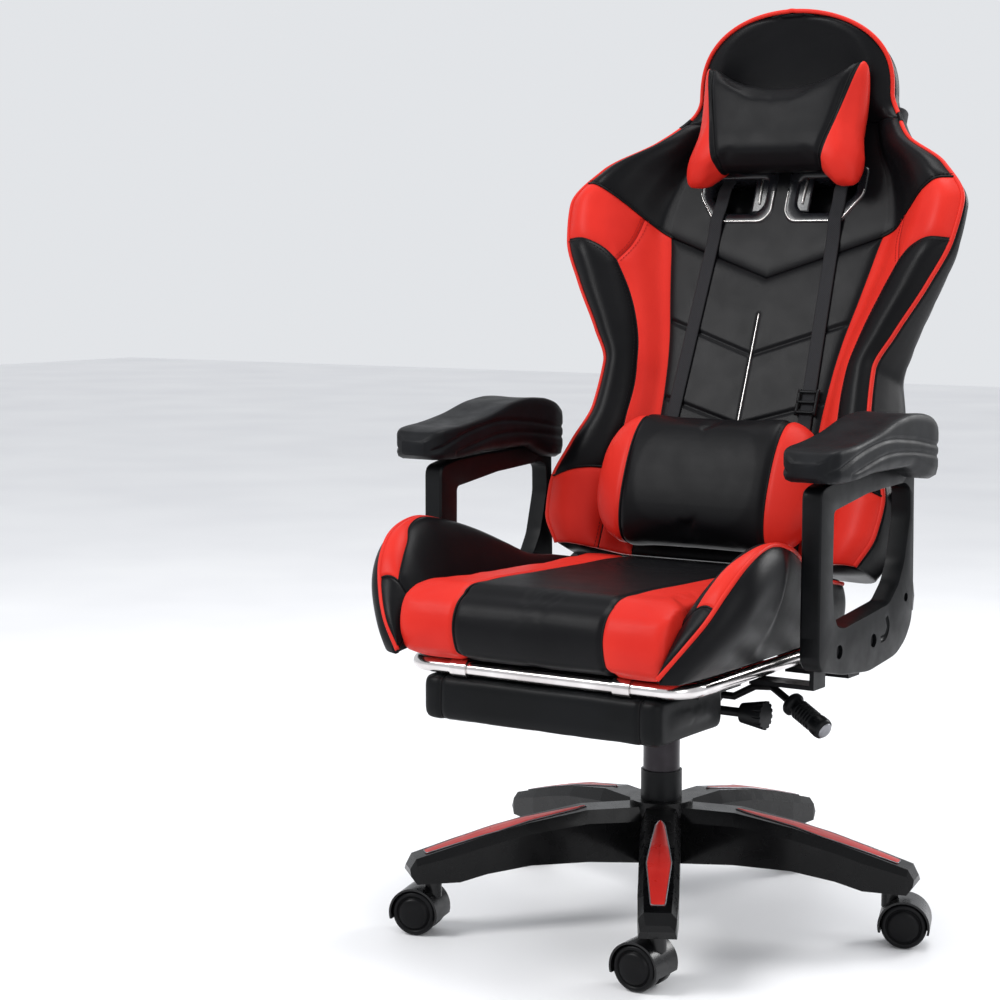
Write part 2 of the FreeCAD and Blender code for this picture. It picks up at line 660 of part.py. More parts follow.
plate_left = seat_hinge_plate()
keep(group(plate_left, mirrored(plate_left)), "hinge_brackets")

pin_left = cylinder("6", "22", axis=(1, 0, 0), x="226", y=hinge_x, z=hinge_z)
keep(group(pin_left, mirrored(pin_left)), "hinge_pins")

cover_left = side_plate("HingeCover", [(176, 418), (190, 408), (216, 408), (232, 422), (236, 442), (228, 462),
                                       (206, 468), (186, 460), (174, 440)], "249", "262")
cover_hole = cylinder("5 + Dims.running_gap", "40", axis=(1, 0, 0), x="240", y=hinge_x, z=hinge_z)
cover_left = cut(cover_left, cover_hole)
keep(group(cover_left, mirrored(cover_left)), "hinge_covers")


# The panel's front plane passes this far ahead of the hinge axis, measured level.
PANEL_LEAD = 84.0
# The head part curls forward of the panel's plane above this height along the lean.
CURL_START = 665.0
CURL_RATE = 0.0020


def in_back_frame(across, forward, along):
    """Point in the leaning back: forward of the panel's front, and up along it from the hinge."""
    lean = math.radians(dim("recline"))
    ahead = forward + CURL_RATE * max(0.0, along - CURL_START) ** 2
    back = dim("hinge_back") - PANEL_LEAD + along * math.sin(lean) - ahead * math.cos(lean)
    height = dim("hinge_height") + along * math.cos(lean) + ahead * math.sin(lean)
    return Vector(across, back, height)


# Stations up the back: height along the lean, half-width, wing's inner edge, wing's forward
# reach, rear face of the wing's outer edge, and depth of the middle behind the panel.
BACK_STATIONS = (
    (45, 234, 172, 44, -46, 56), (87, 256, 172, 50, -46, 60), (132, 260, 171, 52, -46, 60),
    (194, 240, 174, 50, -46, 58), (255, 216, 173, 48, -42, 54), (320, 212, 156, 50, -36, 50),
    (369, 235, 150, 56, -20, 46), (439, 275, 156, 68, 8, 42), (502, 303, 168, 78, 30, 38),
    (556, 309, 174, 80, 38, 36), (614, 270, 166, 72, 26, 36), (665, 200, 146, 48, -6, 38),
    (705, 170, 126, 22, -20, 38),
)
HEAD_STATIONS = ((705, 170), (760, 150), (800, 134), (830, 108), (850, 54))


def back_core():
    """Foam body of the back between the bolsters, with the head part above them."""
    rings = []
    for along, half, inner, reach, rear, depth in BACK_STATIONS:
        edge = inner - 0.2
        rings.append([in_back_frame(-edge, 0, along), in_back_frame(edge, 0, along),
                      in_back_frame(edge, -depth, along), in_back_frame(-edge, -depth, along)])
    core = ruled_loft(rings)
    head_rings = []
    for along, half in HEAD_STATIONS:
        head_rings.append([in_back_frame(-half, 6, along), in_back_frame(half, 6, along),
                           in_back_frame(half, -38, along), in_back_frame(-half, -38, along)])
    core = core.fuse(ruled_loft(head_rings)).removeSplitter()
    for side in (1, -1):
        core = core.cut(harness_prism(side, 0.0))
    return core


def back_bolster():
    """Side wing of the back: forward of the panel, rounded over its outer edge."""
    rings = []
    for along, half, inner, reach, rear, depth in BACK_STATIONS:
        rings.append([in_back_frame(inner, -depth, along), in_back_frame(half - 14, rear - 8, along),
                      in_back_frame(half, rear + 10, along), in_back_frame(half, reach - 12, along),
                      in_back_frame(half - 12, reach, along), in_back_frame(inner + 14, reach - 22, along),
                      in_back_frame(inner, 0, along)])
    return ruled_loft(rings).cut(arm_pocket())


def arm_pocket():
    """Slot in the wing's foam that takes the recliner's arm."""
    rings = []
    for along in (40, 154):
        rings.append([in_back_frame(241.2, -70, along), in_back_frame(246.8, -70, along),
                      in_back_frame(246.8, -30, along), in_back_frame(241.2, -30, along)])
    return ruled_loft(rings)


def harness_ring(side, grow, forward):
    """Six-sided outline of a harness opening, at a distance ahead of the panel."""
    inner, outer = dim("hole_inner") - grow, dim("hole_outer") + grow
    low, high = dim("hole_low") - grow, dim("hole_high") + grow
    middle = (low + high) / 2
    points = [(inner, low + 14), (inner + 12, low), (outer - 30, low), (outer, middle),
              (outer, high), (inner, high)]
    return [in_back_frame(side * across, forward, along) for across, along in points]


def harness_prism(side, grow, front=30.0, rear=-70.0):
    return ruled_loft([harness_ring(side, grow, front), harness_ring(side, grow, rear)])


def harness_bezel(side):
    """Moulded lining of a harness opening, with a lip on the front and a closed rear."""
    lip = harness_prism(side, 7.0, 3.0, 0.0)
    lining = harness_prism(side, 0.0, 3.0, -40.0)
    hole = harness_prism(side, -9.0, 10.0, -36.0)
    return lip.fuse(lining).cut(hole).removeSplitter()


keep(shaped("BackPad", back_core()), "back_pad")
back_left = keep(shaped("BackBolster", back_bolster()), "back_bolster_left")
keep(mirrored(back_left), "back_bolster_right")
bezels = Part.makeCompound([harness_bezel(1), harness_bezel(-1)])
keep(shaped("HarnessBezels", bezels), "harness_bezels")


def recliner_arm():
    """Back-side arm: from the pivot up into the wing's foam."""
    outline = []
    for forward, along in ((-94, 24), (-86, 14), (-70, 14), (-60, 26), (-32, 72), (-32, 152), (-58, 152),
                           (-64, 84), (-92, 46)):
        point = in_back_frame(0, forward, along)
        outline.append((point.y, point.z))
    arm = side_plate("ReclinerArm", outline, "241.5", "246.5")
    hole = cylinder("6 + Dims.running_gap", "60", axis=(1, 0, 0), x="220", y=hinge_x, z=hinge_z)
    return cut(arm, hole)


arm_left = recliner_arm()
keep(group(arm_left, mirrored(arm_left)), "recliner_arms")


# Stations up the head pillow: height along the lean, half-width and thickness.
HEAD_PILLOW_STATIONS = ((592, 122, 30), (616, 147, 56), (690, 140, 66), (752, 143, 58), (788, 143, 30))


def head_pillow():
    """Neck pillow, wider at the top, on the front of the head part."""
    rings = []
    for along, half, depth in HEAD_PILLOW_STATIONS:
        front = 6 + depth
        rings.append([in_back_frame(-half, 9.4, along), in_back_frame(half, 9.4, along),
                      in_back_frame(half * 0.94, front, along), in_back_frame(-half * 0.94, front, along)])
    return ruled_loft(rings)


def lumbar_pillow():
    """Full round-edged lumbar pillow lying against the panel above the seat."""
    outline = []
    for step in range(20):
        angle = 2 * math.pi * (step + 0.5) / 20
        forward = 51 + 44 * math.copysign(abs(math.cos(angle)) ** 0.75, math.cos(angle))
        along = 149 + 98 * math.copysign(abs(math.sin(angle)) ** 0.8, math.sin(angle))
        point = in_back_frame(0, forward, along)
        outline.append((point.y, point.z))
    body = new_body("LumbarPillow")
    sketch = sketch_on(body, "YZ_Plane", "LumbarPillow_side")
    draw_polygon(sketch, outline)
    padded(body, sketch, "344", midplane=True)
    return body


keep(shaped("HeadPillow", head_pillow()), "head_pillow")
keep(lumbar_pillow(), "lumbar_pillow")


def strap(side):
    """Flat webbing from the harness opening down behind the lumbar pillow."""
    top, low = side * 92, side * 107
    half = dim("strap_width") / 2
    rings = []
    for forward in (4.0, 4.0 + dim("strap_thick")):
        rings.append([in_back_frame(top - half, forward, 574), in_back_frame(top + half, forward, 574),
                      in_back_frame(low + half, forward, 200), in_back_frame(low - half, forward, 200)])
    return ruled_loft(rings)


keep(shaped("Straps", Part.makeCompound([strap(1), strap(-1)])), "pillow_straps")


def strap_buckle():
    """Slide buckle on the left strap: a flat frame with the webbing through it."""
    rings = []
    for forward in (2.0, 9.0):
        rings.append([in_back_frame(90, forward, 262), in_back_frame(120, forward, 262),
                      in_back_frame(120, forward, 300), in_back_frame(90, forward, 300)])
    frame = ruled_loft(rings)
    return frame.cut(strap(1))


keep(shaped("StrapBuckle", strap_buckle()), "strap_buckle")


def recline_lever():
    """Curved handle outside the left hinge cover that releases the recliner."""
    outline = [(190, 420), (220, 420), (224, 440), (214, 480), (196, 540), (172, 590), (158, 586),
               (174, 536), (186, 480), (186, 438)]
    blade = side_plate("ReclineLever", outline, "262.4", "268.4")
    spindle = cylinder("5", "14", axis=(1, 0, 0), x="249", y=hinge_x, z=hinge_z)
    return fuse(blade, spindle)


keep(recline_lever(), "recline_lever")

doc.recompute()

# ---------------------------------------------------------------- checks and files

for feature in doc.Objects:
    if "Invalid" in feature.State or "Error" in feature.State:
        raise RuntimeError(f"{feature.Label} failed: {feature.State}")
for feature in nodes:
    shape = feature.Shape
    if shape.isNull() or not shape.isValid() or not shape.Solids:
        raise RuntimeError(f"{feature.Label} has no valid shape")

os.makedirs("parts", exist_ok=True)
for feature in nodes:
    feature.Shape.exportStep(f"parts/{feature.Label}.step")
    print(feature.Label, len(feature.Shape.Solids), round(feature.Shape.Volume / 1000, 1), "cm3")
print(len(nodes), "nodes")
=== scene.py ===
import json
import math

import bmesh
import bpy
import numpy as np
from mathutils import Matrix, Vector
from mathutils.bvhtree import BVHTree


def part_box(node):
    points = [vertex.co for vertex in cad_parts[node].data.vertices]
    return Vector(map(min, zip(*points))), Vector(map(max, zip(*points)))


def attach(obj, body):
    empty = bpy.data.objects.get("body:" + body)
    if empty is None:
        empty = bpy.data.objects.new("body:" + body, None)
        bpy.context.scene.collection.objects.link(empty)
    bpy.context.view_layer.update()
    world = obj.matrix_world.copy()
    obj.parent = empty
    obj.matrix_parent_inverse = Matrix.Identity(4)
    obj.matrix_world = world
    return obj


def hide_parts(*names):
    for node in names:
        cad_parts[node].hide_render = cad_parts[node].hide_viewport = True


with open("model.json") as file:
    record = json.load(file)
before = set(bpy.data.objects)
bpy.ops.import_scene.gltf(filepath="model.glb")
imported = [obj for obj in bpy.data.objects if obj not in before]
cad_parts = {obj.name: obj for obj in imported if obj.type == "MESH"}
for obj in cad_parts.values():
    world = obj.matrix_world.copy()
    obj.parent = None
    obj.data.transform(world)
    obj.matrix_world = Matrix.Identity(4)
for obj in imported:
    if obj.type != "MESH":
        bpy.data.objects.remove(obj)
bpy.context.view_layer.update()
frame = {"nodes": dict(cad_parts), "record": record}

# Gaming chair, metres. The chair faces -Y and the sitter's left is +X, named left here.
MM = 0.001
TAU = 2 * math.pi


# ================================================================ camera, lights, floor

CAMERA_PLACE = (1.5075, -2.6795, 0.9091)
CAMERA_YAW, CAMERA_PITCH = 33.475, -6.21
CAMERA_LENS = 82.4


def make_camera():
    camera = bpy.data.objects.new("camera", bpy.data.cameras.new("camera"))
    bpy.context.scene.collection.objects.link(camera)
    camera.location = CAMERA_PLACE
    camera.rotation_euler = (math.radians(90 + CAMERA_PITCH), 0, math.radians(CAMERA_YAW))
    camera.data.lens = CAMERA_LENS
    bpy.context.scene.camera = camera


def area_light(name, place, target, size, power, colour=(1, 1, 1)):
    light = bpy.data.lights.new(name, "AREA")
    light.shape, light.size, light.energy, light.color = "DISK", size, power, colour
    lamp = bpy.data.objects.new(name, light)
    bpy.context.scene.collection.objects.link(lamp)
    lamp.location = place
    lamp.rotation_euler = (Vector(target) - Vector(place)).to_track_quat("-Z", "Y").to_euler()


def make_studio():
    area_light("key", (-1.7, -2.5, 2.9), (0, 0, 0.7), 1.5, 88)
    area_light("fill", (2.7, -1.9, 1.5), (0, 0, 0.6), 2.0, 22)
    area_light("top", (0.3, 0.4, 3.2), (0, 0, 0.6), 1.6, 45)
    area_light("rim", (1.5, 2.4, 1.7), (0, 0, 0.8), 1.2, 45)
    world = bpy.data.worlds.new("studio")
    world.use_nodes = True
    background = world.node_tree.nodes["Background"]
    background.inputs["Color"].default_value = (0.9, 0.92, 0.95, 1)
    background.inputs["Strength"].default_value = 0.85
    bpy.context.scene.world = world
    bpy.context.scene.view_settings.view_transform = "Standard"


# ================================================================ materials

def rgb(red, green, blue):
    """Linear colour of an 8-bit display colour."""
    return tuple(((c / 255 + 0.055) / 1.055) ** 2.4 if c > 10 else c / 3295
                 for c in (red, green, blue)) + (1,)


class Nodes:
    """Short calls for building one material's node tree."""

    def __init__(self, name):
        self.material = bpy.data.materials.new(name)
        self.material.use_nodes = True
        self.tree = self.material.node_tree
        self.shader = self.tree.nodes["Principled BSDF"]
        self.place = self.add("ShaderNodeTexCoord").outputs["Object"]

    def add(self, kind, inputs=None, **settings):
        node = self.tree.nodes.new(kind)
        for key, value in settings.items():
            setattr(node, key, value)
        for key, value in (inputs or {}).items():
            self.put(node.inputs[key], value)
        return node

    def put(self, socket, value):
        if isinstance(value, bpy.types.NodeSocket):
            self.tree.links.new(value, socket)
        else:
            socket.default_value = value

    def noise(self, scale, detail=2.0, place=None):
        node = self.add("ShaderNodeTexNoise",
                        {"Scale": scale, "Detail": detail, "Vector": place or self.place})
        return node.outputs["Fac"]

    def cells(self, scale, feature="DISTANCE_TO_EDGE"):
        node = self.add("ShaderNodeTexVoronoi", {"Scale": scale, "Vector": self.place}, feature=feature)
        return node.outputs["Distance"]

    def maths(self, operation, first, second=0.0):
        node = self.add("ShaderNodeMath", {0: first, 1: second}, operation=operation)
        return node.outputs[0]

    def spread(self, value, low, high, start=0.3, end=0.7):
        """Map a value's middle range to low..high."""
        node = self.add("ShaderNodeMapRange", {"Value": value, "From Min": start, "From Max": end,
                                               "To Min": low, "To Max": high})
        return node.outputs["Result"]

    def mix(self, share, first, second):
        node = self.add("ShaderNodeMix", data_type="RGBA")
        self.put(node.inputs[0], share)
        self.put(node.inputs[6], first)
        self.put(node.inputs[7], second)
        return node.outputs[2]

    def bump(self, height, distance, strength=1.0, normal=None):
        inputs = {"Height": height, "Distance": distance, "Strength": strength}
        if normal is not None:
            inputs["Normal"] = normal
        return self.add("ShaderNodeBump", inputs).outputs["Normal"]

    def finish(self, colour, roughness, normal=None, **fixed):
        self.put(self.shader.inputs["Base Color"], colour)
        self.put(self.shader.inputs["Roughness"], roughness)
        if normal is not None:
            self.put(self.shader.inputs["Normal"], normal)
        for key, value in fixed.items():
            self.shader.inputs[key.replace("_", " ")].default_value = value
        return self.material


def leather_finish(nodes, colour, rough=0.42):
    """Pebbled grain, soft creases and slightly uneven gloss over a colour."""
    creases = nodes.bump(nodes.noise(40, 4), 0.0008, 0.3)
    pebbles = nodes.bump(nodes.cells(620), 0.0002, 0.5, creases)
    pores = nodes.bump(nodes.noise(2600, 1), 0.00012, 0.4, pebbles)
    roughness = nodes.spread(nodes.noise(30, 4), rough - 0.02, rough + 0.04)
    return nodes.finish(colour, roughness, pores, Specular_IOR_Level=0.1)


def two_tone(nodes, dark, light, scale=9):
    """A colour that drifts between two shades."""
    return nodes.mix(nodes.spread(nodes.noise(scale, 3), 0.0, 1.0), dark, light)


BLACK_SHADES = rgb(8, 8, 10), rgb(13, 13, 15)
RED_SHADES = rgb(186, 36, 28), rgb(198, 44, 34)


def leather(name, shades, rough=0.42):
    nodes = Nodes(name)
    return leather_finish(nodes, two_tone(nodes, *shades), rough)


def banded_leather(name, half, lean=0.0, middle=0.0):
    """Black leather with red past |x| = half, where half may widen with height."""
    nodes = Nodes(name)
    split = nodes.add("ShaderNodeSeparateXYZ", {0: nodes.place})
    limit = nodes.maths("ADD",
                        nodes.maths("MULTIPLY", nodes.maths("SUBTRACT", split.outputs["Z"], middle), lean),
                        half)
    mask = nodes.maths("GREATER_THAN", nodes.maths("ABSOLUTE", split.outputs["X"]), limit)
    black, red = two_tone(nodes, *BLACK_SHADES), two_tone(nodes, *RED_SHADES)
    return leather_finish(nodes, nodes.mix(mask, black, red))


def moulded(name, shades, rough, grain=900, depth=0.00012, coat=0.0, shine=0.12):
    """Moulded plastic: fine spark texture, uneven gloss and scuffed edges."""
    nodes = Nodes(name)
    edges = nodes.add("ShaderNodeNewGeometry").outputs["Pointiness"]
    worn = nodes.spread(edges, 0.0, 0.35, 0.53, 0.62)
    base = two_tone(nodes, *shades, scale=30)
    colour = nodes.mix(worn, base, tuple(min(1, c * 1.5 + 0.004) for c in shades[1][:3]) + (1,))
    normal = nodes.bump(nodes.noise(grain, 2), depth, 0.5)
    roughness = nodes.spread(nodes.noise(40, 4), rough - 0.05, rough + 0.08)
    return nodes.finish(colour, roughness, normal, Coat_Weight=coat, Coat_Roughness=0.12,
                        Specular_IOR_Level=shine)


def metal(name, shades, rough, metallic=1.0, brush=120):
    """Metal with faint drawn lines and finger smudges."""
    nodes = Nodes(name)
    stretch = nodes.add("ShaderNodeMapping", {"Vector": nodes.place, "Scale": (1, 1, 12)})
    lines = nodes.noise(brush, 2, stretch.outputs[0])
    smudge = nodes.spread(nodes.noise(18, 4), rough * 0.8, rough * 1.5 + 0.02)
    normal = nodes.bump(lines, 0.00004, 0.3)
    return nodes.finish(two_tone(nodes, *shades, scale=25), smudge, normal, Metallic=metallic)


def webbing(name):
    """Woven polyester: ribs across a diagonal rib, matt."""
    nodes = Nodes(name)
    ribs = nodes.add("ShaderNodeTexWave", {"Vector": nodes.place, "Scale": 260.0, "Distortion": 0.4},
                     bands_direction="Z").outputs["Fac"]
    warp = nodes.add("ShaderNodeTexWave", {"Vector": nodes.place, "Scale": 210.0, "Distortion": 0.6},
                     bands_direction="DIAGONAL").outputs["Fac"]
    weave = nodes.maths("MULTIPLY", ribs, warp)
    colour = nodes.mix(weave, rgb(14, 14, 16), rgb(46, 47, 52))
    return nodes.finish(colour, 0.75, nodes.bump(weave, 0.0004, 0.8), Specular_IOR_Level=0.3)


def plywood(name):
    nodes = Nodes(name)
    stretch = nodes.add("ShaderNodeMapping", {"Vector": nodes.place, "Scale": (2, 14, 60)})
    grain = nodes.noise(8, 4, stretch.outputs[0])
    colour = nodes.mix(nodes.spread(grain, 0.0, 1.0), rgb(150, 112, 70), rgb(190, 155, 106))
    return nodes.finish(colour, 0.6, nodes.bump(grain, 0.0003, 0.3))


def make_materials():
    black = rgb(5, 5, 6), rgb(8, 8, 9)
    return {
        "black_leather": leather("black_leather", BLACK_SHADES, 0.36),
        "red_leather": leather("red_leather", RED_SHADES, 0.4),
        "seat_leather": banded_leather("seat_leather", SEAT_SEAM),
        "lumbar_leather": banded_leather("lumbar_leather", LUMBAR_SEAM),
        "foot_leather": leather("foot_leather", (rgb(9, 10, 11), rgb(14, 15, 17)), 0.4),
        "arm_pad_skin": moulded("arm_pad_skin", (rgb(10, 11, 13), rgb(16, 17, 20)), 0.46, 1400, 0.0002),
        "black_plastic": moulded("black_plastic", (rgb(8, 9, 10), rgb(13, 14, 16)), 0.38),
        "base_plastic": moulded("base_plastic", black, 0.26, 700, 0.00006, 0.12),
        "red_plastic": moulded("red_plastic", (rgb(176, 34, 30), rgb(190, 42, 36)), 0.3, shine=0.4),
        "bezel_plastic": moulded("bezel_plastic", (rgb(14, 15, 18), rgb(22, 23, 27)), 0.24, shine=0.5),
        "caster_plastic": moulded("caster_plastic", (rgb(6, 6, 7), rgb(10, 10, 12)), 0.28, shine=0.3),
        "wheel_plastic": moulded("wheel_plastic", (rgb(8, 8, 9), rgb(13, 13, 15)), 0.36),
        "black_metal": moulded("black_metal", (rgb(8, 8, 9), rgb(13, 13, 15)), 0.34, 500),
        "column_metal": metal("column_metal", (rgb(30, 27, 30), rgb(44, 40, 44)), 0.3, 0.7),
        "steel": metal("steel", (rgb(120, 120, 124), rgb(150, 150, 154)), 0.3),
        "chrome": metal("chrome", (rgb(196, 191, 190), rgb(222, 219, 218)), 0.16),
        "silver": metal("silver", (rgb(178, 176, 174), rgb(205, 203, 200)), 0.22),
        "plywood": plywood("plywood"),
        "webbing": webbing("webbing"),
        "bush_plastic": moulded("bush_plastic", (rgb(190, 188, 180), rgb(206, 204, 196)), 0.4),
        "red_thread": moulded("red_thread", (rgb(120, 14, 14), rgb(150, 20, 18)), 0.6),
        "black_thread": moulded("black_thread", (rgb(7, 7, 8), rgb(12, 12, 13)), 0.6),
    }


# ================================================================ curves

def smooth_table(at, xs, ys):
    """Smooth interpolation through a table without overshoot."""
    xs, ys, at = np.asarray(xs, float), np.asarray(ys, float), np.asarray(at, float)
    width = np.diff(xs)
    rise = np.diff(ys) / width
    slope = np.concatenate([[rise[0]], np.zeros(len(xs) - 2), [rise[-1]]])
    same = rise[:-1] * rise[1:] > 0
    slope[1:-1][same] = 2 * rise[:-1][same] * rise[1:][same] / (rise[:-1] + rise[1:])[same]
    i = np.clip(np.searchsorted(xs, at) - 1, 0, len(width) - 1)
    t = np.clip((at - xs[i]) / width[i], 0, 1)
    return ((1 + 2 * t) * (1 - t) ** 2 * ys[i] + t * (1 - t) ** 2 * width[i] * slope[i]
            + t * t * (3 - 2 * t) * ys[i + 1] + t * t * (t - 1) * width[i] * slope[i + 1])


def even(line, count):
    """The same polyline with its points spaced evenly."""
    line = np.asarray(line, float)
    run = np.concatenate([[0], np.cumsum(np.linalg.norm(np.diff(line, axis=0), axis=1))])
    at = np.linspace(0, run[-1], count)
    return np.stack([np.interp(at, run, line[:, k]) for k in range(line.shape[1])], 1)


def curve(points, count, closed=False):
    """Evenly spaced points on a smooth line through the given ones."""
    points = np.asarray(points, float)
    if closed:
        points = np.vstack([points[-3:], points, points[:4]])
    step = np.linalg.norm(np.diff(points, axis=0), axis=1)
    at = np.concatenate([[0], np.cumsum(step)])
    slope = np.gradient(points, at, axis=0)
    ends = (at[3], at[-4]) if closed else (0, at[-1])
    fine = np.linspace(*ends, 8 * count)
    i = np.clip(np.searchsorted(at, fine, side="right") - 1, 0, len(step) - 1)
    t, span = ((fine - at[i]) / step[i])[:, None], step[i][:, None]
    line = ((1 + 2 * t) * (1 - t) ** 2 * points[i] + t * (1 - t) ** 2 * span * slope[i]
            + t * t * (3 - 2 * t) * points[i + 1] + t * t * (t - 1) * span * slope[i + 1])
    return even(line, count + 1)[:-1] if closed else even(line, count)


def smoothstep(value):
    value = np.clip(value, 0, 1)
    return value * value * (3 - 2 * value)


def distance_to(points, line):
    """Distance from each point to a polyline, in the same coordinates."""
    best = np.full(len(points), 1e9)
    for start, end in zip(line[:-1], line[1:]):
        along = end - start
        length = max(float(along @ along), 1e-12)
        t = np.clip((points - start) @ along / length, 0, 1)
        best = np.minimum(best, np.linalg.norm(points - start - t[:, None] * along, axis=1))
    return best


# ================================================================ meshes

def new_piece(name, points, faces, material):
    mesh = bpy.data.meshes.new(name)
    mesh.from_pydata([tuple(p) for p in np.asarray(points, float)], [], faces)
    mesh.validate()
    mesh.polygons.foreach_set("use_smooth", [True] * len(mesh.polygons))
    mesh.materials.append(material)
    piece = bpy.data.objects.new(name, mesh)
    bpy.context.scene.collection.objects.link(piece)
    return piece


def settle(piece, body, replaces=()):
    """Give a piece its body and hide the nodes it stands for."""
    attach(piece, body)
    if replaces:
        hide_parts(*replaces)
    return piece


def grid_faces(rows, cols, wrap_rows=False, wrap_cols=False, first=0):
    """Quads over a grid of rows x cols points."""
    faces = []
    for r in range(rows if wrap_rows else rows - 1):
        for c in range(cols if wrap_cols else cols - 1):
            below, beside = (r + 1) % rows, (c + 1) % cols
            faces.append((first + r * cols + c, first + r * cols + beside,
                          first + below * cols + beside, first + below * cols + c))
    return faces


def loft(name, rings, material, closed_path=False):
    """A closed form through rings with equal counts, capped unless the path closes."""
    rings = np.asarray(rings, float)
    count, around = rings.shape[:2]
    faces = grid_faces(count, around, wrap_rows=closed_path, wrap_cols=True)
    if not closed_path:
        faces.append(tuple(range(around))[::-1])
        faces.append(tuple((count - 1) * around + i for i in range(around)))
    piece = new_piece(name, rings.reshape(-1, 3), faces, material)
    face_outward(piece)
    return piece


def face_outward(piece):
    mesh = bmesh.new()
    mesh.from_mesh(piece.data)
    bmesh.ops.recalc_face_normals(mesh, faces=mesh.faces)
    mesh.to_mesh(piece.data)
    mesh.free()


def mirror_points(points):
    return np.asarray(points, float) * np.array([-1, 1, 1])


def tube(name, line, radius, material, closed=False, sides=10, flat=1.0, up=None):
    """A round or flattened cord of constant section along a line."""
    line = np.asarray(line, float)
    if closed:
        along = np.roll(line, -1, 0) - np.roll(line, 1, 0)
    else:
        along = np.gradient(line, axis=0)
    along /= np.linalg.norm(along, axis=1, keepdims=True)
    if up is None:
        up = np.eye(3)[np.argmin(np.abs(along).mean(0))]
    side = np.cross(along, up)
    side /= np.linalg.norm(side, axis=1, keepdims=True)
    rise = np.cross(side, along)
    turn = np.linspace(0, TAU, sides, endpoint=False)
    rings = [line[i] + radius * (np.cos(turn)[:, None] * side[i] + flat * np.sin(turn)[:, None] * rise[i])
             for i in range(len(line))]
    return loft(name, rings, material, closed_path=closed)


def lathe(name, profile, material, centre, axis, sides=48):
    """A turned piece: profile holds (distance along the axis, radius)."""
    axis = Vector(axis).normalized()
    side = axis.orthogonal().normalized()
    other = axis.cross(side)
    rings = []
    for along, radius in profile:
        rings.append([Vector(centre) + axis * along + radius * (math.cos(t) * side + math.sin(t) * other)
                      for t in np.linspace(0, TAU, sides, endpoint=False)])
    return loft(name, rings, material)


def join(name, pieces):
    """One piece out of several that share a material."""
    bpy.ops.object.select_all(action="DESELECT")
    for piece in pieces:
        piece.select_set(True)
    bpy.context.view_layer.objects.active = pieces[0]
    bpy.ops.object.join()
    pieces[0].name = name
    return pieces[0]


def coons(bottom, right, top, left, cols, rows):
    """Grid of surface coordinates filled in between four boundary lines."""
    bottom, top = even(bottom, cols), even(top, cols)
    left, right = even(left, rows), even(right, rows)
    u, v = np.linspace(0, 1, cols)[None, :, None], np.linspace(0, 1, rows)[:, None, None]
    across = (1 - v) * bottom[None] + v * top[None]
    upward = (1 - u) * left[:, None] + u * right[:, None]
    corners = ((1 - u) * (1 - v) * bottom[0] + u * (1 - v) * bottom[-1]
               + (1 - u) * v * top[0] + u * v * top[-1])
    return across + upward - corners


def surface_normals(surface, grid, step=5e-4):
    """Outward normals of a surface function at grid coordinates, by differences."""
    du = surface(grid[..., 0] + step, grid[..., 1]) - surface(grid[..., 0] - step, grid[..., 1])
    dv = surface(grid[..., 0], grid[..., 1] + step) - surface(grid[..., 0], grid[..., 1] - step)
    normal = np.cross(du, dv)
    return normal / np.maximum(np.linalg.norm(normal, axis=-1, keepdims=True), 1e-9)


def panel(name, sides, surface, material, puff=4 * MM, soft=7 * MM, thick=7 * MM, spacing=2.6 * MM,
          channels=(), hole=None):
    """A sewn, padded panel: a closed shell that pulls in at its seams and along its channels."""
    bottom, right, top, left = [np.asarray(side, float) for side in sides]
    longest = [max(line_length(a), line_length(b)) for a, b in ((bottom, top), (left, right))]
    cols, rows = [max(8, int(length / spacing)) | 1 for length in longest]
    grid = coons(bottom, right, top, left, cols, rows)
    outline = np.vstack([bottom, right, top[::-1], left[::-1]])
    flat = grid.reshape(-1, 2)
    height = puff * (1 - np.exp(-distance_to(flat, outline) / soft))
    for line, depth, width in channels:
        height -= depth * np.exp(-(distance_to(flat, np.asarray(line)) / width) ** 2)
    normal = surface_normals(surface, grid)
    skin = surface(grid[..., 0], grid[..., 1])
    front = skin + height.reshape(rows, cols, 1) * normal
    skip = None if hole is None else lambda row, col: hole(grid[row:row + 2, col:col + 2].mean((0, 1)))
    return shell_between(name, front, skin - thick * normal, material, skip)


def shell_between(name, front, back, material, skip=None):
    """A closed piece between two grids of points, walled round the rim; skip(row, col) leaves quads out."""
    rows, cols = front.shape[:2]
    count = rows * cols
    faces = grid_faces(rows, cols)
    if skip is not None:
        faces = [f for f in faces if not skip(*divmod(f[0], cols))]
    rim = (list(range(cols)) + [r * cols + cols - 1 for r in range(1, rows)]
           + [(rows - 1) * cols + c for c in range(cols - 2, -1, -1)]
           + [r * cols for r in range(rows - 2, 0, -1)])
    walls = [(a, a + count, b + count, b) for a, b in zip(rim, rim[1:] + rim[:1])]
    shell = faces + [tuple(i + count for i in reversed(f)) for f in faces] + walls
    piece = new_piece(name, np.vstack([front.reshape(-1, 3), back.reshape(-1, 3)]), shell, material)
    face_outward(piece)
    return piece


def line_length(line):
    return float(np.linalg.norm(np.diff(line, axis=0), axis=1).sum())


def mirrored_copy(piece, name):
    """The same piece on the other side of the chair."""
    mesh = piece.data.copy()
    points = np.array([v.co for v in mesh.vertices])
    mesh.vertices.foreach_set("co", mirror_points(points).ravel())
    mesh.flip_normals()
    other = bpy.data.objects.new(name, mesh)
    bpy.context.scene.collection.objects.link(other)
    return other


def both_sides(piece, body, left_nodes=(), right_nodes=()):
    """Keep a +X piece and its mirror image, named left and right."""
    stem = piece.name
    other = mirrored_copy(piece, stem + "_right")
    piece.name = stem + "_left"
    settle(piece, body, left_nodes)
    settle(other, body, right_nodes)


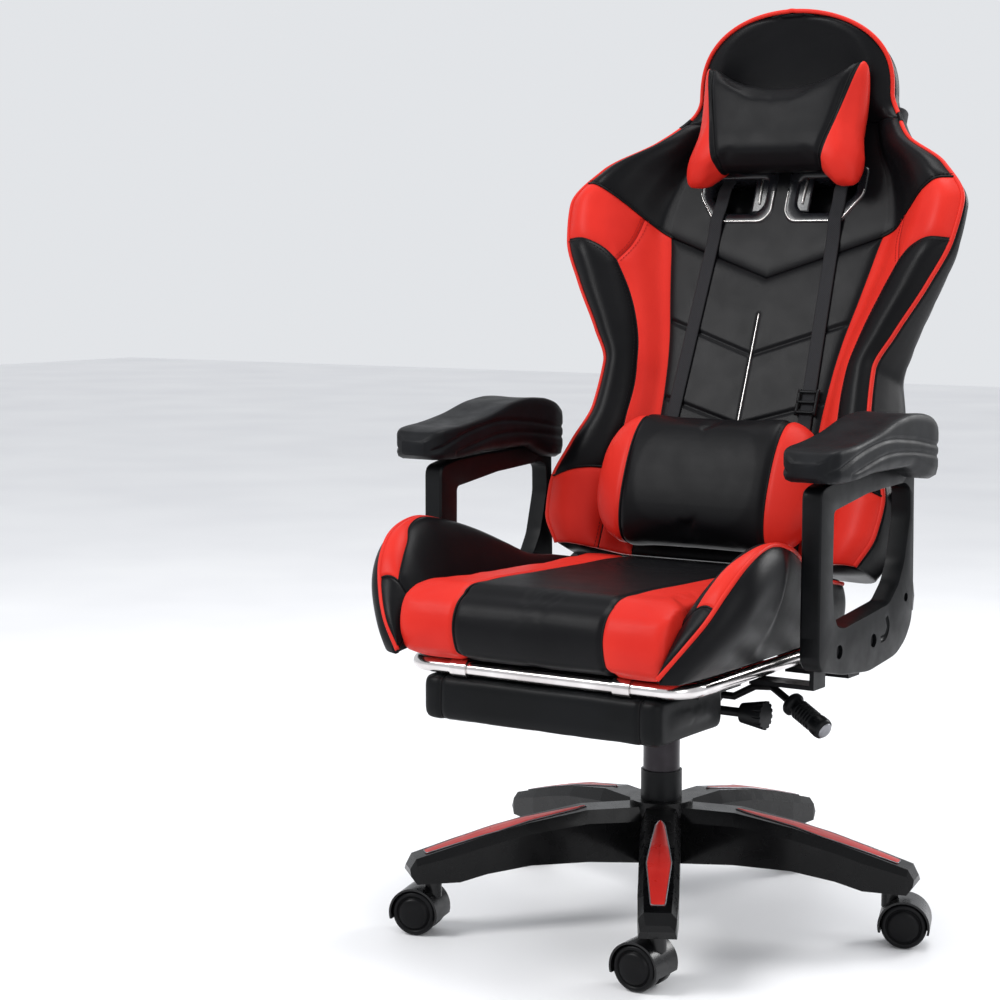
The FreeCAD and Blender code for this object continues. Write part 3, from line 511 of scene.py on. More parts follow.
def inflate(piece, voxel=5 * MM, pressure=4.0, cap=10 * MM, frames=20):
    """Swell a closed form with cloth pressure, keep the result and refine it."""
    remesh = piece.modifiers.new("remesh", "REMESH")
    remesh.mode, remesh.voxel_size, remesh.use_smooth_shade = "VOXEL", voxel, True
    bpy.context.view_layer.objects.active = piece
    bpy.ops.object.modifier_apply(modifier="remesh")
    rest = np.array([v.co for v in piece.data.vertices])
    cloth = piece.modifiers.new("cloth", "CLOTH")
    settings = cloth.settings
    settings.quality, settings.mass = 5, 0.3
    settings.tension_stiffness = settings.compression_stiffness = 12
    settings.shear_stiffness, settings.bending_stiffness = 8, 0.6
    settings.use_pressure, settings.uniform_pressure_force = True, pressure
    settings.effector_weights.gravity = 0
    cloth.point_cache.frame_start, cloth.point_cache.frame_end = 1, frames
    for number in range(1, frames + 1):
        bpy.context.scene.frame_set(number)
    swollen = piece.evaluated_get(bpy.context.evaluated_depsgraph_get())
    moved = np.array([v.co for v in swollen.data.vertices]) - rest
    piece.modifiers.remove(cloth)
    bpy.context.scene.frame_set(1)
    length = np.linalg.norm(moved, axis=1, keepdims=True)
    rest += moved * np.minimum(1, cap / np.maximum(length, 1e-9))
    piece.data.vertices.foreach_set("co", rest.ravel())
    refine = piece.modifiers.new("refine", "SUBSURF")
    refine.levels = refine.render_levels = 1
    bpy.context.view_layer.objects.active = piece
    bpy.ops.object.modifier_apply(modifier="refine")
    piece.data.polygons.foreach_set("use_smooth", [True] * len(piece.data.polygons))
    return piece


def dent(piece, depth_of):
    """Push a piece's surface in by depth_of(points) along its normals."""
    points = np.array([v.co for v in piece.data.vertices])
    normals = np.array([v.normal for v in piece.data.vertices])
    points -= depth_of(points)[:, None] * normals
    piece.data.vertices.foreach_set("co", points.ravel())
    piece.data.update()


def loop_round(piece, centre, first, second, count=120, start=0.0, end=TAU, proud=0.0):
    """Line round a piece's surface, in the plane of two directions through a centre."""
    tree = BVHTree.FromObject(piece, bpy.context.evaluated_depsgraph_get())
    line = []
    for angle in np.linspace(start, end, count, endpoint=end - start < TAU - 1e-6):
        way = Vector(first) * math.cos(angle) + Vector(second) * math.sin(angle)
        hit = tree.ray_cast(Vector(centre) + way * 0.6, -way)[0]
        if hit is not None:
            line.append(hit + way * proud)
    return np.array(line)


# ================================================================ the back's own frame

HINGE_BACK, HINGE_HEIGHT, RECLINE = 0.205, 0.435, math.radians(22)
PANEL_LEAD = 0.084
CURL_START, CURL_RATE = 0.665, 2.0
ALONG = np.array([0, math.sin(RECLINE), math.cos(RECLINE)])
FORWARD = np.array([0, -math.cos(RECLINE), math.sin(RECLINE)])


def back_point(across, forward, along):
    """Chair coordinates of a point in the leaning back, for numbers or arrays."""
    across, forward, along = np.broadcast_arrays(across, forward, along)
    ahead = forward + CURL_RATE * np.maximum(0, along - CURL_START) ** 2
    foot = np.array([0, HINGE_BACK - PANEL_LEAD, HINGE_HEIGHT])
    return (foot + across[..., None] * np.array([1, 0, 0]) + along[..., None] * ALONG
            + ahead[..., None] * FORWARD)


# Height along the lean, half-width, wing's reach ahead, rear of its outer edge, depth behind
# the panel's middle, and the panel's half-width, in millimetres.
BACK_STATIONS = np.array((
    (45, 234, 44, -46, 56, 130), (87, 256, 50, -46, 60, 128), (132, 260, 50, -46, 60, 127),
    (194, 240, 50, -46, 58, 126), (255, 216, 48, -42, 54, 127), (320, 212, 50, -36, 50, 131),
    (369, 235, 56, -20, 46, 137), (439, 275, 68, 8, 42, 151), (502, 303, 78, 30, 38, 163),
    (556, 309, 80, 38, 36, 172), (614, 270, 72, 26, 36, 162), (665, 200, 48, -6, 38, 140),
    (705, 171, 22, -20, 38, 126), (745, 153, 6, -26, 38, 118), (870, 153, 6, -26, 36, 110),
)) * MM
BACK_FOOT, NECK, HEAD_TOP = 0.045, 0.705, 0.852
HEAD_HALF, HEAD_BASE = 0.153, 0.745


def back_table(along, column):
    return smooth_table(along, BACK_STATIONS[:, 0], BACK_STATIONS[:, column])


def half_width(along):
    """Half-width of the back: the table's, then a rounded arch over the head."""
    rise = np.clip((along - HEAD_BASE) / (HEAD_TOP - HEAD_BASE), 0, 1)
    return np.where(along < HEAD_BASE, back_table(along, 1), HEAD_HALF * (1 - rise ** 2.7) ** 0.5)


def front_forward(across, along):
    """How far the upholstered front stands ahead of the panel's plane."""
    edge, outer = back_table(along, 5), half_width(along)
    share = np.clip((np.abs(across) - edge) / np.maximum(outer - edge, 1e-3), 0, 1)
    rise = smooth_table(share, (0, 0.1, 0.34, 0.6, 0.8, 1), (0, 0.03, 0.45, 0.86, 1, 0.88))
    head = smoothstep((along - 0.69) / 0.05)
    rim = np.exp(-((outer - np.abs(across) - 0.03) / 0.022) ** 2) * head
    return back_table(along, 2) * rise * (1 - head) + head * 0.006 + 0.010 * rim


def back_surface(across, along):
    return back_point(across, front_forward(across, along), along)


def outline_line(start, end, count=60):
    """The back's outline between two heights, as (across, along)."""
    along = np.linspace(start, end, count)
    return np.stack([half_width(along), along], 1)


def head_arch(count=80):
    """Outline over the head from its base on +X to its base on -X, evenly spaced."""
    turn = np.linspace(0, math.pi / 2, 400)
    along = HEAD_BASE + (HEAD_TOP - HEAD_BASE) * np.sin(turn)
    right = np.stack([half_width(along), along], 1)
    left = right[::-1][1:] * np.array([-1, 1])
    return even(np.vstack([right, left]), count)


def edge_line(start, end, count=40):
    along = np.linspace(start, end, count)
    return np.stack([back_table(along, 5), along], 1)


# Seams of the +X wing as (across, along), all in metres.
CHEVRON_APEX, CHEVRON_EDGE = 0.469, 0.531
SHOULDER_LOW, SHOULDER_HIGH = 0.502, 0.592
BOLSTER_SEAM = curve([(0.172, 0.045), (0.172, 0.160), (0.168, 0.235), (0.165, 0.300), (0.170, 0.345),
                      (0.184, 0.395), (0.201, 0.435), (0.224, 0.476)], 80)
BOLSTER_HOOK = curve([(0.224, 0.476), (0.240, 0.489), (0.266, 0.499), (0.303, SHOULDER_LOW)], 24)
WELT_INNER = curve([(0.166, CHEVRON_EDGE), (0.185, 0.540), (0.208, 0.553)], 12)
WELT_OUTER = curve([(0.208, 0.553), (0.240, 0.573), (0.270, 0.587),
                    (float(half_width(0.592)), SHOULDER_HIGH)], 30)
SHOULDER_SEAM = curve([(0.224, 0.476), (0.213, 0.508), (0.208, 0.553)], 20)
LOW_SEAM = curve([(0.172, 0.165), (0.205, 0.160), (float(half_width(0.142)), 0.142)], 16)


def on_front(line, proud=0.0):
    """Lift a line of (across, along) onto the back's front surface."""
    line = np.asarray(line, float)
    normal = surface_normals(back_surface, line)
    return back_surface(line[:, 0], line[:, 1]) + proud * normal


def split_at(line, height):
    """The parts of a rising line below and above a height."""
    cut = int(np.argmin(np.abs(line[:, 1] - height)))
    return line[:cut + 1], line[cut:]


# ================================================================ back upholstery

HARNESS_INNER, HARNESS_OUTER, HARNESS_LOW, HARNESS_HIGH = 0.016, 0.126, 0.560, 0.632


def rounded(corners, radius, count):
    """Evenly spaced closed line through corners, each rounded by about a radius."""
    line = []
    for before, corner, after in zip(corners[-1:] + corners[:-1], corners, corners[1:] + corners[:1]):
        corner = np.array(corner)
        reach = min(radius, 0.4 * min(math.dist(before, corner), math.dist(after, corner)))
        ahead = [np.array(p) - corner for p in (before, after)]
        start, end = [corner + reach * d / np.linalg.norm(d) for d in ahead]
        for t in (0, 0.25, 0.5, 0.75, 1):
            line.append((1 - t) ** 2 * start + 2 * t * (1 - t) * corner + t * t * end)
    return even(np.array(line + line[:1]), count + 1)[:-1]


def harness_outline(grow, count=72):
    """Rounded six-sided outline of the +X harness opening, as (across, along)."""
    inner, outer = HARNESS_INNER - grow, HARNESS_OUTER + grow
    low, high = HARNESS_LOW - grow, HARNESS_HIGH + grow
    corners = [(inner, low + 0.014), (inner + 0.012, low), (outer - 0.030, low),
               (outer, (low + high) / 2), (outer, high), (inner, high)]
    return rounded(corners, 0.009, count)


HARNESS_CUT = harness_outline(-3 * MM)


def in_harness(place):
    """True if a point (across, along) lies in either harness opening."""
    x, y = abs(place[0]), place[1]
    inside = False
    ends = zip(HARNESS_CUT, np.roll(HARNESS_CUT, -1, 0))
    for (x0, y0), (x1, y1) in ends:
        if (y0 > y) != (y1 > y) and x < (x1 - x0) * (y - y0) / (y1 - y0) + x0:
            inside = not inside
    return inside


def chevron(apex, edge, apart=0.002):
    """A V across the panel from seam to seam, as (across, along)."""
    reach = float(back_table(edge, 5)) - apart
    return np.array([(-reach, edge), (0, apex), (reach, edge)])


CHEVRONS = ((0.351, 0.401), (0.245, 0.283), (0.140, 0.172))


def centre_panel(materials):
    """Black panel under the lumbar pillow, sewn in three chevrons with a silver stripe."""
    edge = edge_line(BACK_FOOT, CHEVRON_EDGE)
    other = edge * np.array([-1, 1])
    top = even(np.array([(-edge[-1, 0], CHEVRON_EDGE), (0, CHEVRON_APEX), (edge[-1, 0], CHEVRON_EDGE)]), 121)
    bottom = np.array([(-edge[0, 0], BACK_FOOT), (edge[0, 0], BACK_FOOT)])
    channels = [(chevron(*heights), 2.6 * MM, 3.2 * MM) for heights in CHEVRONS]
    channels.append((np.array([(0, 0.06), (0, 0.414)]), 1.2 * MM, 3 * MM))
    piece = panel("back_centre_panel", (bottom, edge, top, other), back_surface, materials["black_leather"],
                  puff=3 * MM, soft=5 * MM, spacing=2.0 * MM, channels=channels)
    settle(piece, "back", ["back_pad"])
    stripe = on_front(np.array([(0, a) for a in np.linspace(0.238, 0.414, 60)]), 2.2 * MM)
    stripe = tube("centre_stripe", stripe, 1.1 * MM, materials["silver"], up=FORWARD)
    settle(stripe, "back")


def wing_panels(materials):
    """Red and black panels of the wings, mirrored from the +X side."""
    black, red = materials["black_leather"], materials["red_leather"]
    edge = edge_line(BACK_FOOT, CHEVRON_EDGE, 90)
    outer_of_strip = np.vstack([BOLSTER_SEAM, SHOULDER_SEAM[1:]])
    foot = np.array([edge[0], BOLSTER_SEAM[0]])
    strip = panel("wing_strip", (foot, outer_of_strip, WELT_INNER, edge), back_surface, red, puff=3.5 * MM)
    both_sides(strip, "back", ["back_bolster_left"], ["back_bolster_right"])
    shoulder_outline = outline_line(SHOULDER_LOW, SHOULDER_HIGH, 30)
    shoulder = panel("wing_shoulder", (BOLSTER_HOOK, shoulder_outline, WELT_OUTER, SHOULDER_SEAM),
                     back_surface, red, puff=4 * MM, soft=9 * MM)
    both_sides(shoulder, "back")
    low, high = split_at(BOLSTER_SEAM, 0.165)
    inner_side = np.vstack([high, BOLSTER_HOOK[1:]])
    tip = np.array([BOLSTER_HOOK[-1], BOLSTER_HOOK[-1] + 1e-5])
    side = panel("wing_side", (LOW_SEAM, outline_line(0.142, SHOULDER_LOW, 80), tip, inner_side),
                 back_surface, black, puff=5 * MM, soft=10 * MM)
    both_sides(side, "back")
    low_foot = np.array([low[0], (float(half_width(BACK_FOOT)), BACK_FOOT)])
    lower = panel("wing_foot", (low_foot, outline_line(BACK_FOOT, 0.142, 24), LOW_SEAM, low),
                  back_surface, red, puff=4 * MM)
    both_sides(lower, "back")


def yoke_panel(materials):
    """Black yoke between the shoulders, round the harness openings, up to the neck."""
    right = outline_line(SHOULDER_HIGH, NECK, 40)
    bottom_right = np.vstack([[(0, CHEVRON_APEX)], WELT_INNER, WELT_OUTER[1:]])
    bottom = np.vstack([bottom_right[::-1][:-1] * np.array([-1, 1]), bottom_right])
    neck = np.array([(-right[-1, 0], NECK), (right[-1, 0], NECK)])
    yoke = panel("back_yoke", (bottom, right, neck, right * np.array([-1, 1])), back_surface,
                 materials["black_leather"], puff=4 * MM, soft=9 * MM, spacing=2.4 * MM, hole=in_harness)
    settle(yoke, "back")
    arch = head_arch(161)
    lean = outline_line(NECK, HEAD_BASE, 20)
    head = panel("head_panel", (neck, lean, arch[::-1], lean * np.array([-1, 1])), back_surface,
                 materials["black_leather"], puff=3 * MM, soft=8 * MM, spacing=3 * MM)
    settle(head, "back")


def rear_rows():
    """Heights of the shell's rings, closer together over the head."""
    lower = np.linspace(BACK_FOOT, HEAD_BASE, 150)
    turn = np.linspace(0, math.pi / 2, 46)[1:-1]
    return np.concatenate([lower, HEAD_BASE + (HEAD_TOP - HEAD_BASE) * np.sin(turn)])


def back_shell(materials):
    """Leather cover of the sides and rear, with the foam's front just under the panels."""
    rings, places = [], []
    for along in rear_rows():
        half = float(half_width(along))
        rear, depth = float(back_table(along, 3)), float(back_table(along, 4))
        thin = smoothstep((half - 0.02) / 0.08) if along > HEAD_BASE else 1.0
        depth, rear = 0.012 + (depth - 0.012) * thin, rear * thin - 0.004 * (1 - thin)
        waist = float(np.exp(-((along - 0.25) / 0.10) ** 2))
        rear -= 0.012 * waist
        front = np.linspace(-1, 1, 61) * (half - 1 * MM)
        ahead = front_forward(front, along) - 6 * MM
        edge = float(front_forward(half, along)) - 4 * MM
        lip = min(half * 0.3, 0.014)
        full = 0.022 * waist
        rearward = curve([(half, edge), (half + 2.5 * MM + 0.6 * full, (edge + rear) / 2),
                          (half + full, rear + 0.008), (half + 0.8 * full - lip, rear - 0.008),
                          (half * 0.72, -depth - 0.001 + (rear + depth) * 0.25),
                          (half * 0.4, -depth - 0.003), (0, -depth - 0.004)], 34)
        other = rearward[::-1][1:] * np.array([-1, 1])
        section = np.vstack([np.stack([front, ahead], 1), rearward, other])
        rings.append(back_point(section[:, 0], section[:, 1], np.full(len(section), along)))
        places.append(np.stack([section[:, 0], np.full(len(section), along)], 1))
    shell = loft("back_shell", rings, materials["black_leather"])
    flat = np.vstack(places)
    mesh = bmesh.new()
    mesh.from_mesh(shell.data)
    mesh.verts.ensure_lookup_table()
    inside = [f for f in mesh.faces
              if len(f.verts) == 4 and in_harness(np.mean([flat[v.index] for v in f.verts], 0))]
    bmesh.ops.delete(mesh, geom=inside, context="FACES_ONLY")
    mesh.to_mesh(shell.data)
    mesh.free()
    settle(shell, "back")
    rear_seams(shell, materials)


def rear_seams(shell, materials):
    """Seams on the rear: two long ones and one across below the harness openings."""
    tree = BVHTree.FromObject(shell, bpy.context.evaluated_depsgraph_get())

    def on_rear(places):
        hits = [tree.ray_cast(Vector(back_point(x, -0.3, a)), Vector(FORWARD))[0] for x, a in places]
        return np.array([hit for hit in hits if hit is not None])

    heights = np.linspace(0.06, 0.70, 110)
    long_seam = on_rear([(0.60 * float(half_width(a)), a) for a in heights])
    both_sides(tube("rear_seam", long_seam, 1.5 * MM, materials["black_thread"]), "back")
    reach = 0.60 * float(half_width(0.50))
    cross = on_rear([(x, 0.50 - 0.03 * (1 - (x / reach) ** 2)) for x in np.linspace(-reach, reach, 80)])
    seam = tube("rear_cross_seam", cross, 1.5 * MM, materials["black_thread"])
    settle(seam, "back")
    collar = on_rear([(x, 0.742) for x in np.linspace(-0.13, 0.13, 60)])
    settle(tube("rear_neck_seam", collar, 1.4 * MM, materials["black_thread"]), "back")


def piping_line(start, end, count=120):
    along = np.linspace(start, end, count)
    half = half_width(along)
    return back_point(half + 0.5 * MM, front_forward(half, along) - 0.5 * MM, along)


def back_piping(materials):
    """Red piping round the wings and the head, and the thin black welts between panels."""
    red, black = materials["red_leather"], materials["black_leather"]
    wing = tube("wing_piping", even(piping_line(BACK_FOOT, NECK - 8 * MM, 240), 260), 3.2 * MM, red)
    both_sides(wing, "back")
    arch = head_arch(200)
    lean = outline_line(NECK + 8 * MM, HEAD_BASE, 24)[:-1]
    line = np.vstack([lean, arch, lean[::-1] * np.array([-1, 1])])
    grown = line * np.array([1.003, 1])
    forward = front_forward(line[:, 0], np.minimum(line[:, 1], HEAD_TOP - 1e-4))
    head = tube("head_piping", even(back_point(grown[:, 0], forward + 1 * MM, grown[:, 1]), 240), 3.2 * MM,
                red,
                up=FORWARD)
    settle(head, "back")
    knot = outline_line(NECK - 9 * MM, NECK + 9 * MM, 12)
    knot = tube("neck_fold", back_point(knot[:, 0] + 1 * MM, front_forward(knot[:, 0], knot[:, 1]),
                                        knot[:, 1]),
                3.6 * MM, black)
    both_sides(knot, "back")
    welts = {"yoke_welt": np.vstack([WELT_INNER, WELT_OUTER[1:]]), "foot_welt": LOW_SEAM}
    for name, line in welts.items():
        both_sides(tube(name, on_front(line, 1.0 * MM), 1.7 * MM, black), "back")
    seams = {"strip_seam": edge_line(0.05, CHEVRON_EDGE, 120),
             "bolster_seam": np.vstack([BOLSTER_SEAM, BOLSTER_HOOK[1:]])}
    for name, line in seams.items():
        both_sides(tube(name, on_front(line, -0.6 * MM), 1.3 * MM, materials["black_thread"]), "back")
    shoulder = tube("shoulder_seam", on_front(SHOULDER_SEAM, -0.5 * MM), 1.2 * MM, materials["red_thread"])
    both_sides(shoulder, "back")


def stitches(name, line, material, pitch=5.5 * MM, length=3.6 * MM, radius=0.45 * MM):
    """A row of separate stitches along a line."""
    line = even(line, max(3, int(line_length(line) / pitch) + 1))
    threads = []
    for start, end in zip(line[:-1], line[1:]):
        way = (end - start) / np.linalg.norm(end - start)
        middle = (start + end) / 2
        side = np.cross(way, [0.3, 0.5, 0.8])
        side /= np.linalg.norm(side)
        other = np.cross(way, side)
        rings = []
        for along, share in ((-0.5, 0.3), (-0.35, 1), (0.35, 1), (0.5, 0.3)):
            turn = np.linspace(0, TAU, 6, endpoint=False)
            rings.append(middle + way * along * length
                         + radius * share * (np.cos(turn)[:, None] * side + np.sin(turn)[:, None] * other))
        threads.append(rings)
    points = np.concatenate([np.asarray(r).reshape(-1, 3) for r in threads])
    faces = []
    for index in range(len(threads)):
        faces += grid_faces(4, 6, wrap_cols=True, first=index * 24)
        faces += [tuple(range(index * 24, index * 24 + 6))[::-1],
                  tuple(range(index * 24 + 18, index * 24 + 24))]
    return new_piece(name, points, faces, material)


def beside(line, shift):
    """A line of surface coordinates moved sideways by a distance."""
    way = np.gradient(line, axis=0)
    way /= np.linalg.norm(way, axis=1, keepdims=True)
    return line + shift * np.stack([way[:, 1], -way[:, 0]], 1)


def back_stitching(materials):
    rows = {"yoke_stitches": (np.vstack([WELT_INNER, WELT_OUTER[1:]]), -4 * MM),
            "bolster_stitches": (np.vstack([BOLSTER_SEAM, BOLSTER_HOOK[1:]]), 4.5 * MM)}
    for name, (line, shift) in rows.items():
        row = stitches(name, on_front(beside(even(line, 60), shift), 2.2 * MM), materials["black_thread"])
        both_sides(row, "back")
    for shift in (-4 * MM, 4 * MM):
        row = stitches("shoulder_stitches_%s" % ("in" if shift < 0 else "out"),
                       on_front(beside(SHOULDER_SEAM, shift), 2.2 * MM), materials["red_thread"])
        both_sides(row, "back")


def harness_bezels(materials):
    """Glossy linings of the harness openings, with a silver line and a rear lip."""
    def ring(grow, forward):
        line = harness_outline(grow)
        return back_point(line[:, 0], np.full(len(line), forward), line[:, 1])

    sections = [(7, 2), (7, 4), (5.5, 5.5), (3, 5.8), (-6, 4.4), (-9, 2), (-9, -41), (-6, -43.5), (4, -43.5),
                (5.5, -41.5), (5, -38), (0, -36), (0, 0)]
    rings = [ring(grow * MM, forward * MM) for grow, forward in sections]
    lining = loft("harness_lining", rings, materials["bezel_plastic"], closed_path=True)
    both_sides(lining, "back", ["harness_bezels"])
    floor = loft("harness_floor", [ring(-3 * MM, -36 * MM), ring(-3 * MM, -41 * MM)],
                 materials["black_plastic"])
    both_sides(floor, "back")
    line = harness_outline(4.5 * MM, 120)
    low = line[line[:, 1] < HARNESS_LOW + 0.045]
    start = int(np.argmax(np.linalg.norm(np.diff(low, axis=0), axis=1))) + 1
    low = np.roll(low, -start, 0)
    silver = tube("harness_silver", back_point(low[:, 0], np.full(len(low), 6.3 * MM), low[:, 1]), 1.1 * MM,
                  materials["silver"], up=FORWARD)
    both_sides(silver, "back")
    slot = np.linspace((0.0345, 0.584), (0.0365, 0.628), 12)
    loop = tube("harness_slot", back_point(slot[:, 0], np.full(12, 1.2 * MM), slot[:, 1]), 1.8 * MM,
                materials["silver"], up=FORWARD)
    both_sides(loop, "back")
    bar = coons(*[np.array(side) for side in (
        [(0.024, 0.572), (0.046, 0.572)], [(0.046, 0.572), (0.046, 0.634)],
        [(0.024, 0.634), (0.046, 0.634)], [(0.024, 0.572), (0.024, 0.634)])], 9, 21)
    front, back = [back_point(bar[..., 0], ahead * MM, bar[..., 1]) for ahead in (0.4, -4)]
    piece = shell_between("harness_bar", front, back, materials["bezel_plastic"])
    both_sides(piece, "back")


# ================================================================ pillows and straps

LUMBAR_SEAM, LUMBAR_HALF = 0.112, 0.172
LUMBAR_FORWARD, LUMBAR_ALONG = (0.051, 0.045), (0.1435, 0.1035)


def swept_block(name, section, half, shrink, material, columns=41):
    """A cushion swept from side to side; shrink(x) scales its section about the middle."""
    section = np.asarray(section, float)
    middle = section.mean(0)
    rings = []
    for across in np.sin(np.linspace(-math.pi / 2, math.pi / 2, columns)) * half:
        scaled = middle + (section - middle) * shrink(abs(across))
        rings.append(np.column_stack([np.full(len(scaled), across), scaled]))
    return loft(name, rings, material)


def power(value, exponent):
    return np.copysign(np.abs(value) ** exponent, value)


def lumbar_pillow(materials):
    turn = np.linspace(0, TAU, 64, endpoint=False)
    (forward, deep), (along, tall) = LUMBAR_FORWARD, LUMBAR_ALONG
    section = back_point(0, forward + (deep - 4 * MM) * power(np.cos(turn), 0.78),
                         along + (tall - 4 * MM) * power(np.sin(turn), 0.85))[:, 1:]

    def shrink(across):
        return (1 - max(0.0, (across - 0.09) / (LUMBAR_HALF - 0.086)) ** 2.6) ** 0.5

    pillow = swept_block("lumbar_cushion", section, LUMBAR_HALF - 3 * MM, shrink, materials["lumbar_leather"])
    inflate(pillow, cap=7 * MM)
    dent(pillow, lambda p: 3.2 * MM * np.exp(-((np.abs(p[:, 0]) - LUMBAR_SEAM) / (4.5 * MM)) ** 2))
    settle(pillow, "back", ["lumbar_pillow"])
    centre = back_point(LUMBAR_SEAM, forward, along)
    line = curve(loop_round(pillow, centre, FORWARD, ALONG, 90), 160, closed=True)
    both_sides(tube("lumbar_welt", line, 1.5 * MM, materials["black_thread"], closed=True, up=(1, 0, 0)),
               "back")


HEAD_PILLOW_MIDDLE = 0.690
HEAD_PILLOW_FORWARD = 0.041


def head_pillow_seam(along):
    """Half-width of the black middle at a height."""
    return smooth_table(along, (0.596, 0.640, 0.700, 0.795), (0.073, 0.084, 0.100, 0.121))


def head_pillow(materials):
    """Butterfly neck pillow: hollow top edge, four full corners and red ends."""
    u, v = np.meshgrid(np.linspace(-1, 1, 61), np.linspace(-1, 1, 41))
    top = 0.746 + 0.046 * np.abs(u) ** 2.2 - 0.012 * np.abs(u) ** 14
    low = 0.610 - 0.022 * smoothstep((np.abs(u) - 0.45) / 0.35)
    along = low + (top - low) * (v + 1) / 2
    across = u * smooth_table(along, (0.588, 0.62, 0.68, 0.74, 0.79), (0.149, 0.148, 0.137, 0.138, 0.142))
    round_off = 1 - np.abs(u) ** 6 * np.abs(v) ** 6 * 0.06
    across, along = across * round_off, HEAD_PILLOW_MIDDLE + (along - HEAD_PILLOW_MIDDLE) * round_off
    swell = ((1 - np.abs(u) ** 5) * (1 - np.abs(v) ** 3.4)) ** 0.5
    layers = [back_point(across, HEAD_PILLOW_FORWARD + sign * thick * swell, along)
              for sign, thick in ((1, 0.034), (-1, 0.028))]
    rows, cols = u.shape
    faces = grid_faces(rows, cols)
    count = rows * cols
    shell = faces + [tuple(i + count for i in reversed(f)) for f in faces]
    pillow = new_piece("head_cushion", np.vstack([p.reshape(-1, 3) for p in layers]), shell,
                       materials["head_leather"])
    mesh = bmesh.new()
    mesh.from_mesh(pillow.data)
    bmesh.ops.remove_doubles(mesh, verts=mesh.verts, dist=1e-5)
    bmesh.ops.recalc_face_normals(mesh, faces=mesh.faces)
    mesh.to_mesh(pillow.data)
    mesh.free()
    inflate(pillow, cap=6 * MM)
    foot = np.array([0, HINGE_BACK - PANEL_LEAD, HINGE_HEIGHT])

    def groove(points):
        height = (points - foot) @ ALONG
        gap = np.abs(points[:, 0]) - head_pillow_seam(height)
        return 3 * MM * np.exp(-(gap / (4 * MM)) ** 2)

    dent(pillow, groove)
    settle(pillow, "back", ["head_pillow"])
    tree = BVHTree.FromObject(pillow, bpy.context.evaluated_depsgraph_get())
    line = []
    for along in np.linspace(0.592, 0.80, 70):
        start = back_point(head_pillow_seam(along), 0.20, along)
        hit = tree.ray_cast(Vector(start), Vector(-FORWARD))[0]
        if hit is not None:
            line.append(hit)
    welt = tube("head_welt", even(np.array(line), 80), 1.5 * MM, materials["black_thread"])
    both_sides(welt, "back")


STRAP_TOP, STRAP_LOW = (0.092, 0.640), (0.107, 0.205)


def strap_ribbon(name, line, width, thick, material, across_way):
    """Flat webbing along a line, with rounded selvedges."""
    line = np.asarray(line, float)
    along = np.gradient(line, axis=0)
    along /= np.linalg.norm(along, axis=1, keepdims=True)
    across = np.asarray(across_way, float) - along * (along @ np.asarray(across_way, float))[:, None]
    across /= np.linalg.norm(across, axis=1, keepdims=True)
    face = np.cross(along, across)
    half, deep = width / 2, thick / 2
    section = [(-half, 0), (-half + deep, -deep), (half - deep, -deep), (half, 0), (half - deep, deep),
               (-half + deep, deep)]
    section = even(np.array(section + section[:1]), 25)[:-1]
    rings = [line[i] + section[:, :1] * across[i] + section[:, 1:] * face[i] for i in range(len(line))]
    return loft(name, rings, material)


def straps(materials):
    share = np.linspace(0, 1, 120)
    across = STRAP_TOP[0] + (STRAP_LOW[0] - STRAP_TOP[0]) * share
    along = STRAP_TOP[1] + (STRAP_LOW[1] - STRAP_TOP[1]) * share
    over_lip = 4.5 * MM * np.exp(-((along - 0.556) / 0.016) ** 2)
    sunk = 16 * MM * smoothstep((along - 0.600) / 0.04)
    forward = front_forward(across, along) + 5.2 * MM + over_lip - sunk
    line = back_point(across, forward, along)
    ribbon = strap_ribbon("pillow_strap", line, 21 * MM, 1.8 * MM, materials["webbing"], (1, 0, 0))
    both_sides(ribbon, "back", ["pillow_straps"])
    buckle = []
    for height in (0.266, 0.281, 0.296):
        x = STRAP_TOP[0] + ((STRAP_LOW[0] - STRAP_TOP[0]) * (STRAP_TOP[1] - height)
                            / (STRAP_TOP[1] - STRAP_LOW[1]))
        bar = [back_point(x + dx, 9.5 * MM, height) for dx in np.linspace(-14 * MM, 14 * MM, 9)]
        buckle.append(tube(f"bar_{height}", bar, 2.4 * MM, materials["black_plastic"]))
    for dx in (-14 * MM, 14 * MM):
        rail = [back_point(0.105 + dx, 8.5 * MM, a) for a in np.linspace(0.262, 0.300, 9)]
        buckle.append(tube(f"rail_{dx}", rail, 2.8 * MM, materials["black_plastic"]))
    settle(join("slide_buckle", buckle), "back", ["strap_buckle"])
    half = float(half_width(0.713))
    side = [(half - 0.018, 0.012), (half + 0.002, 0.002), (half + 0.003, -0.012), (half - 0.012, -0.031),
            (half * 0.72, -0.0415), (half * 0.4, -0.0445)]
    wrap = curve([*side, (0, -0.0455), *[(-x, forward) for x, forward in side[::-1]]], 120)
    middle = back_point(wrap[:, 0], wrap[:, 1], np.full(len(wrap), 0.713))
    elastic = strap_ribbon("head_strap", middle, 26 * MM, 1.6 * MM, materials["webbing"], ALONG)
    settle(elastic, "back")


# ================================================================ seat

SEAT_SEAM, SEAT_HALF, SEAT_FLARE = 0.109, 0.1885, 0.012


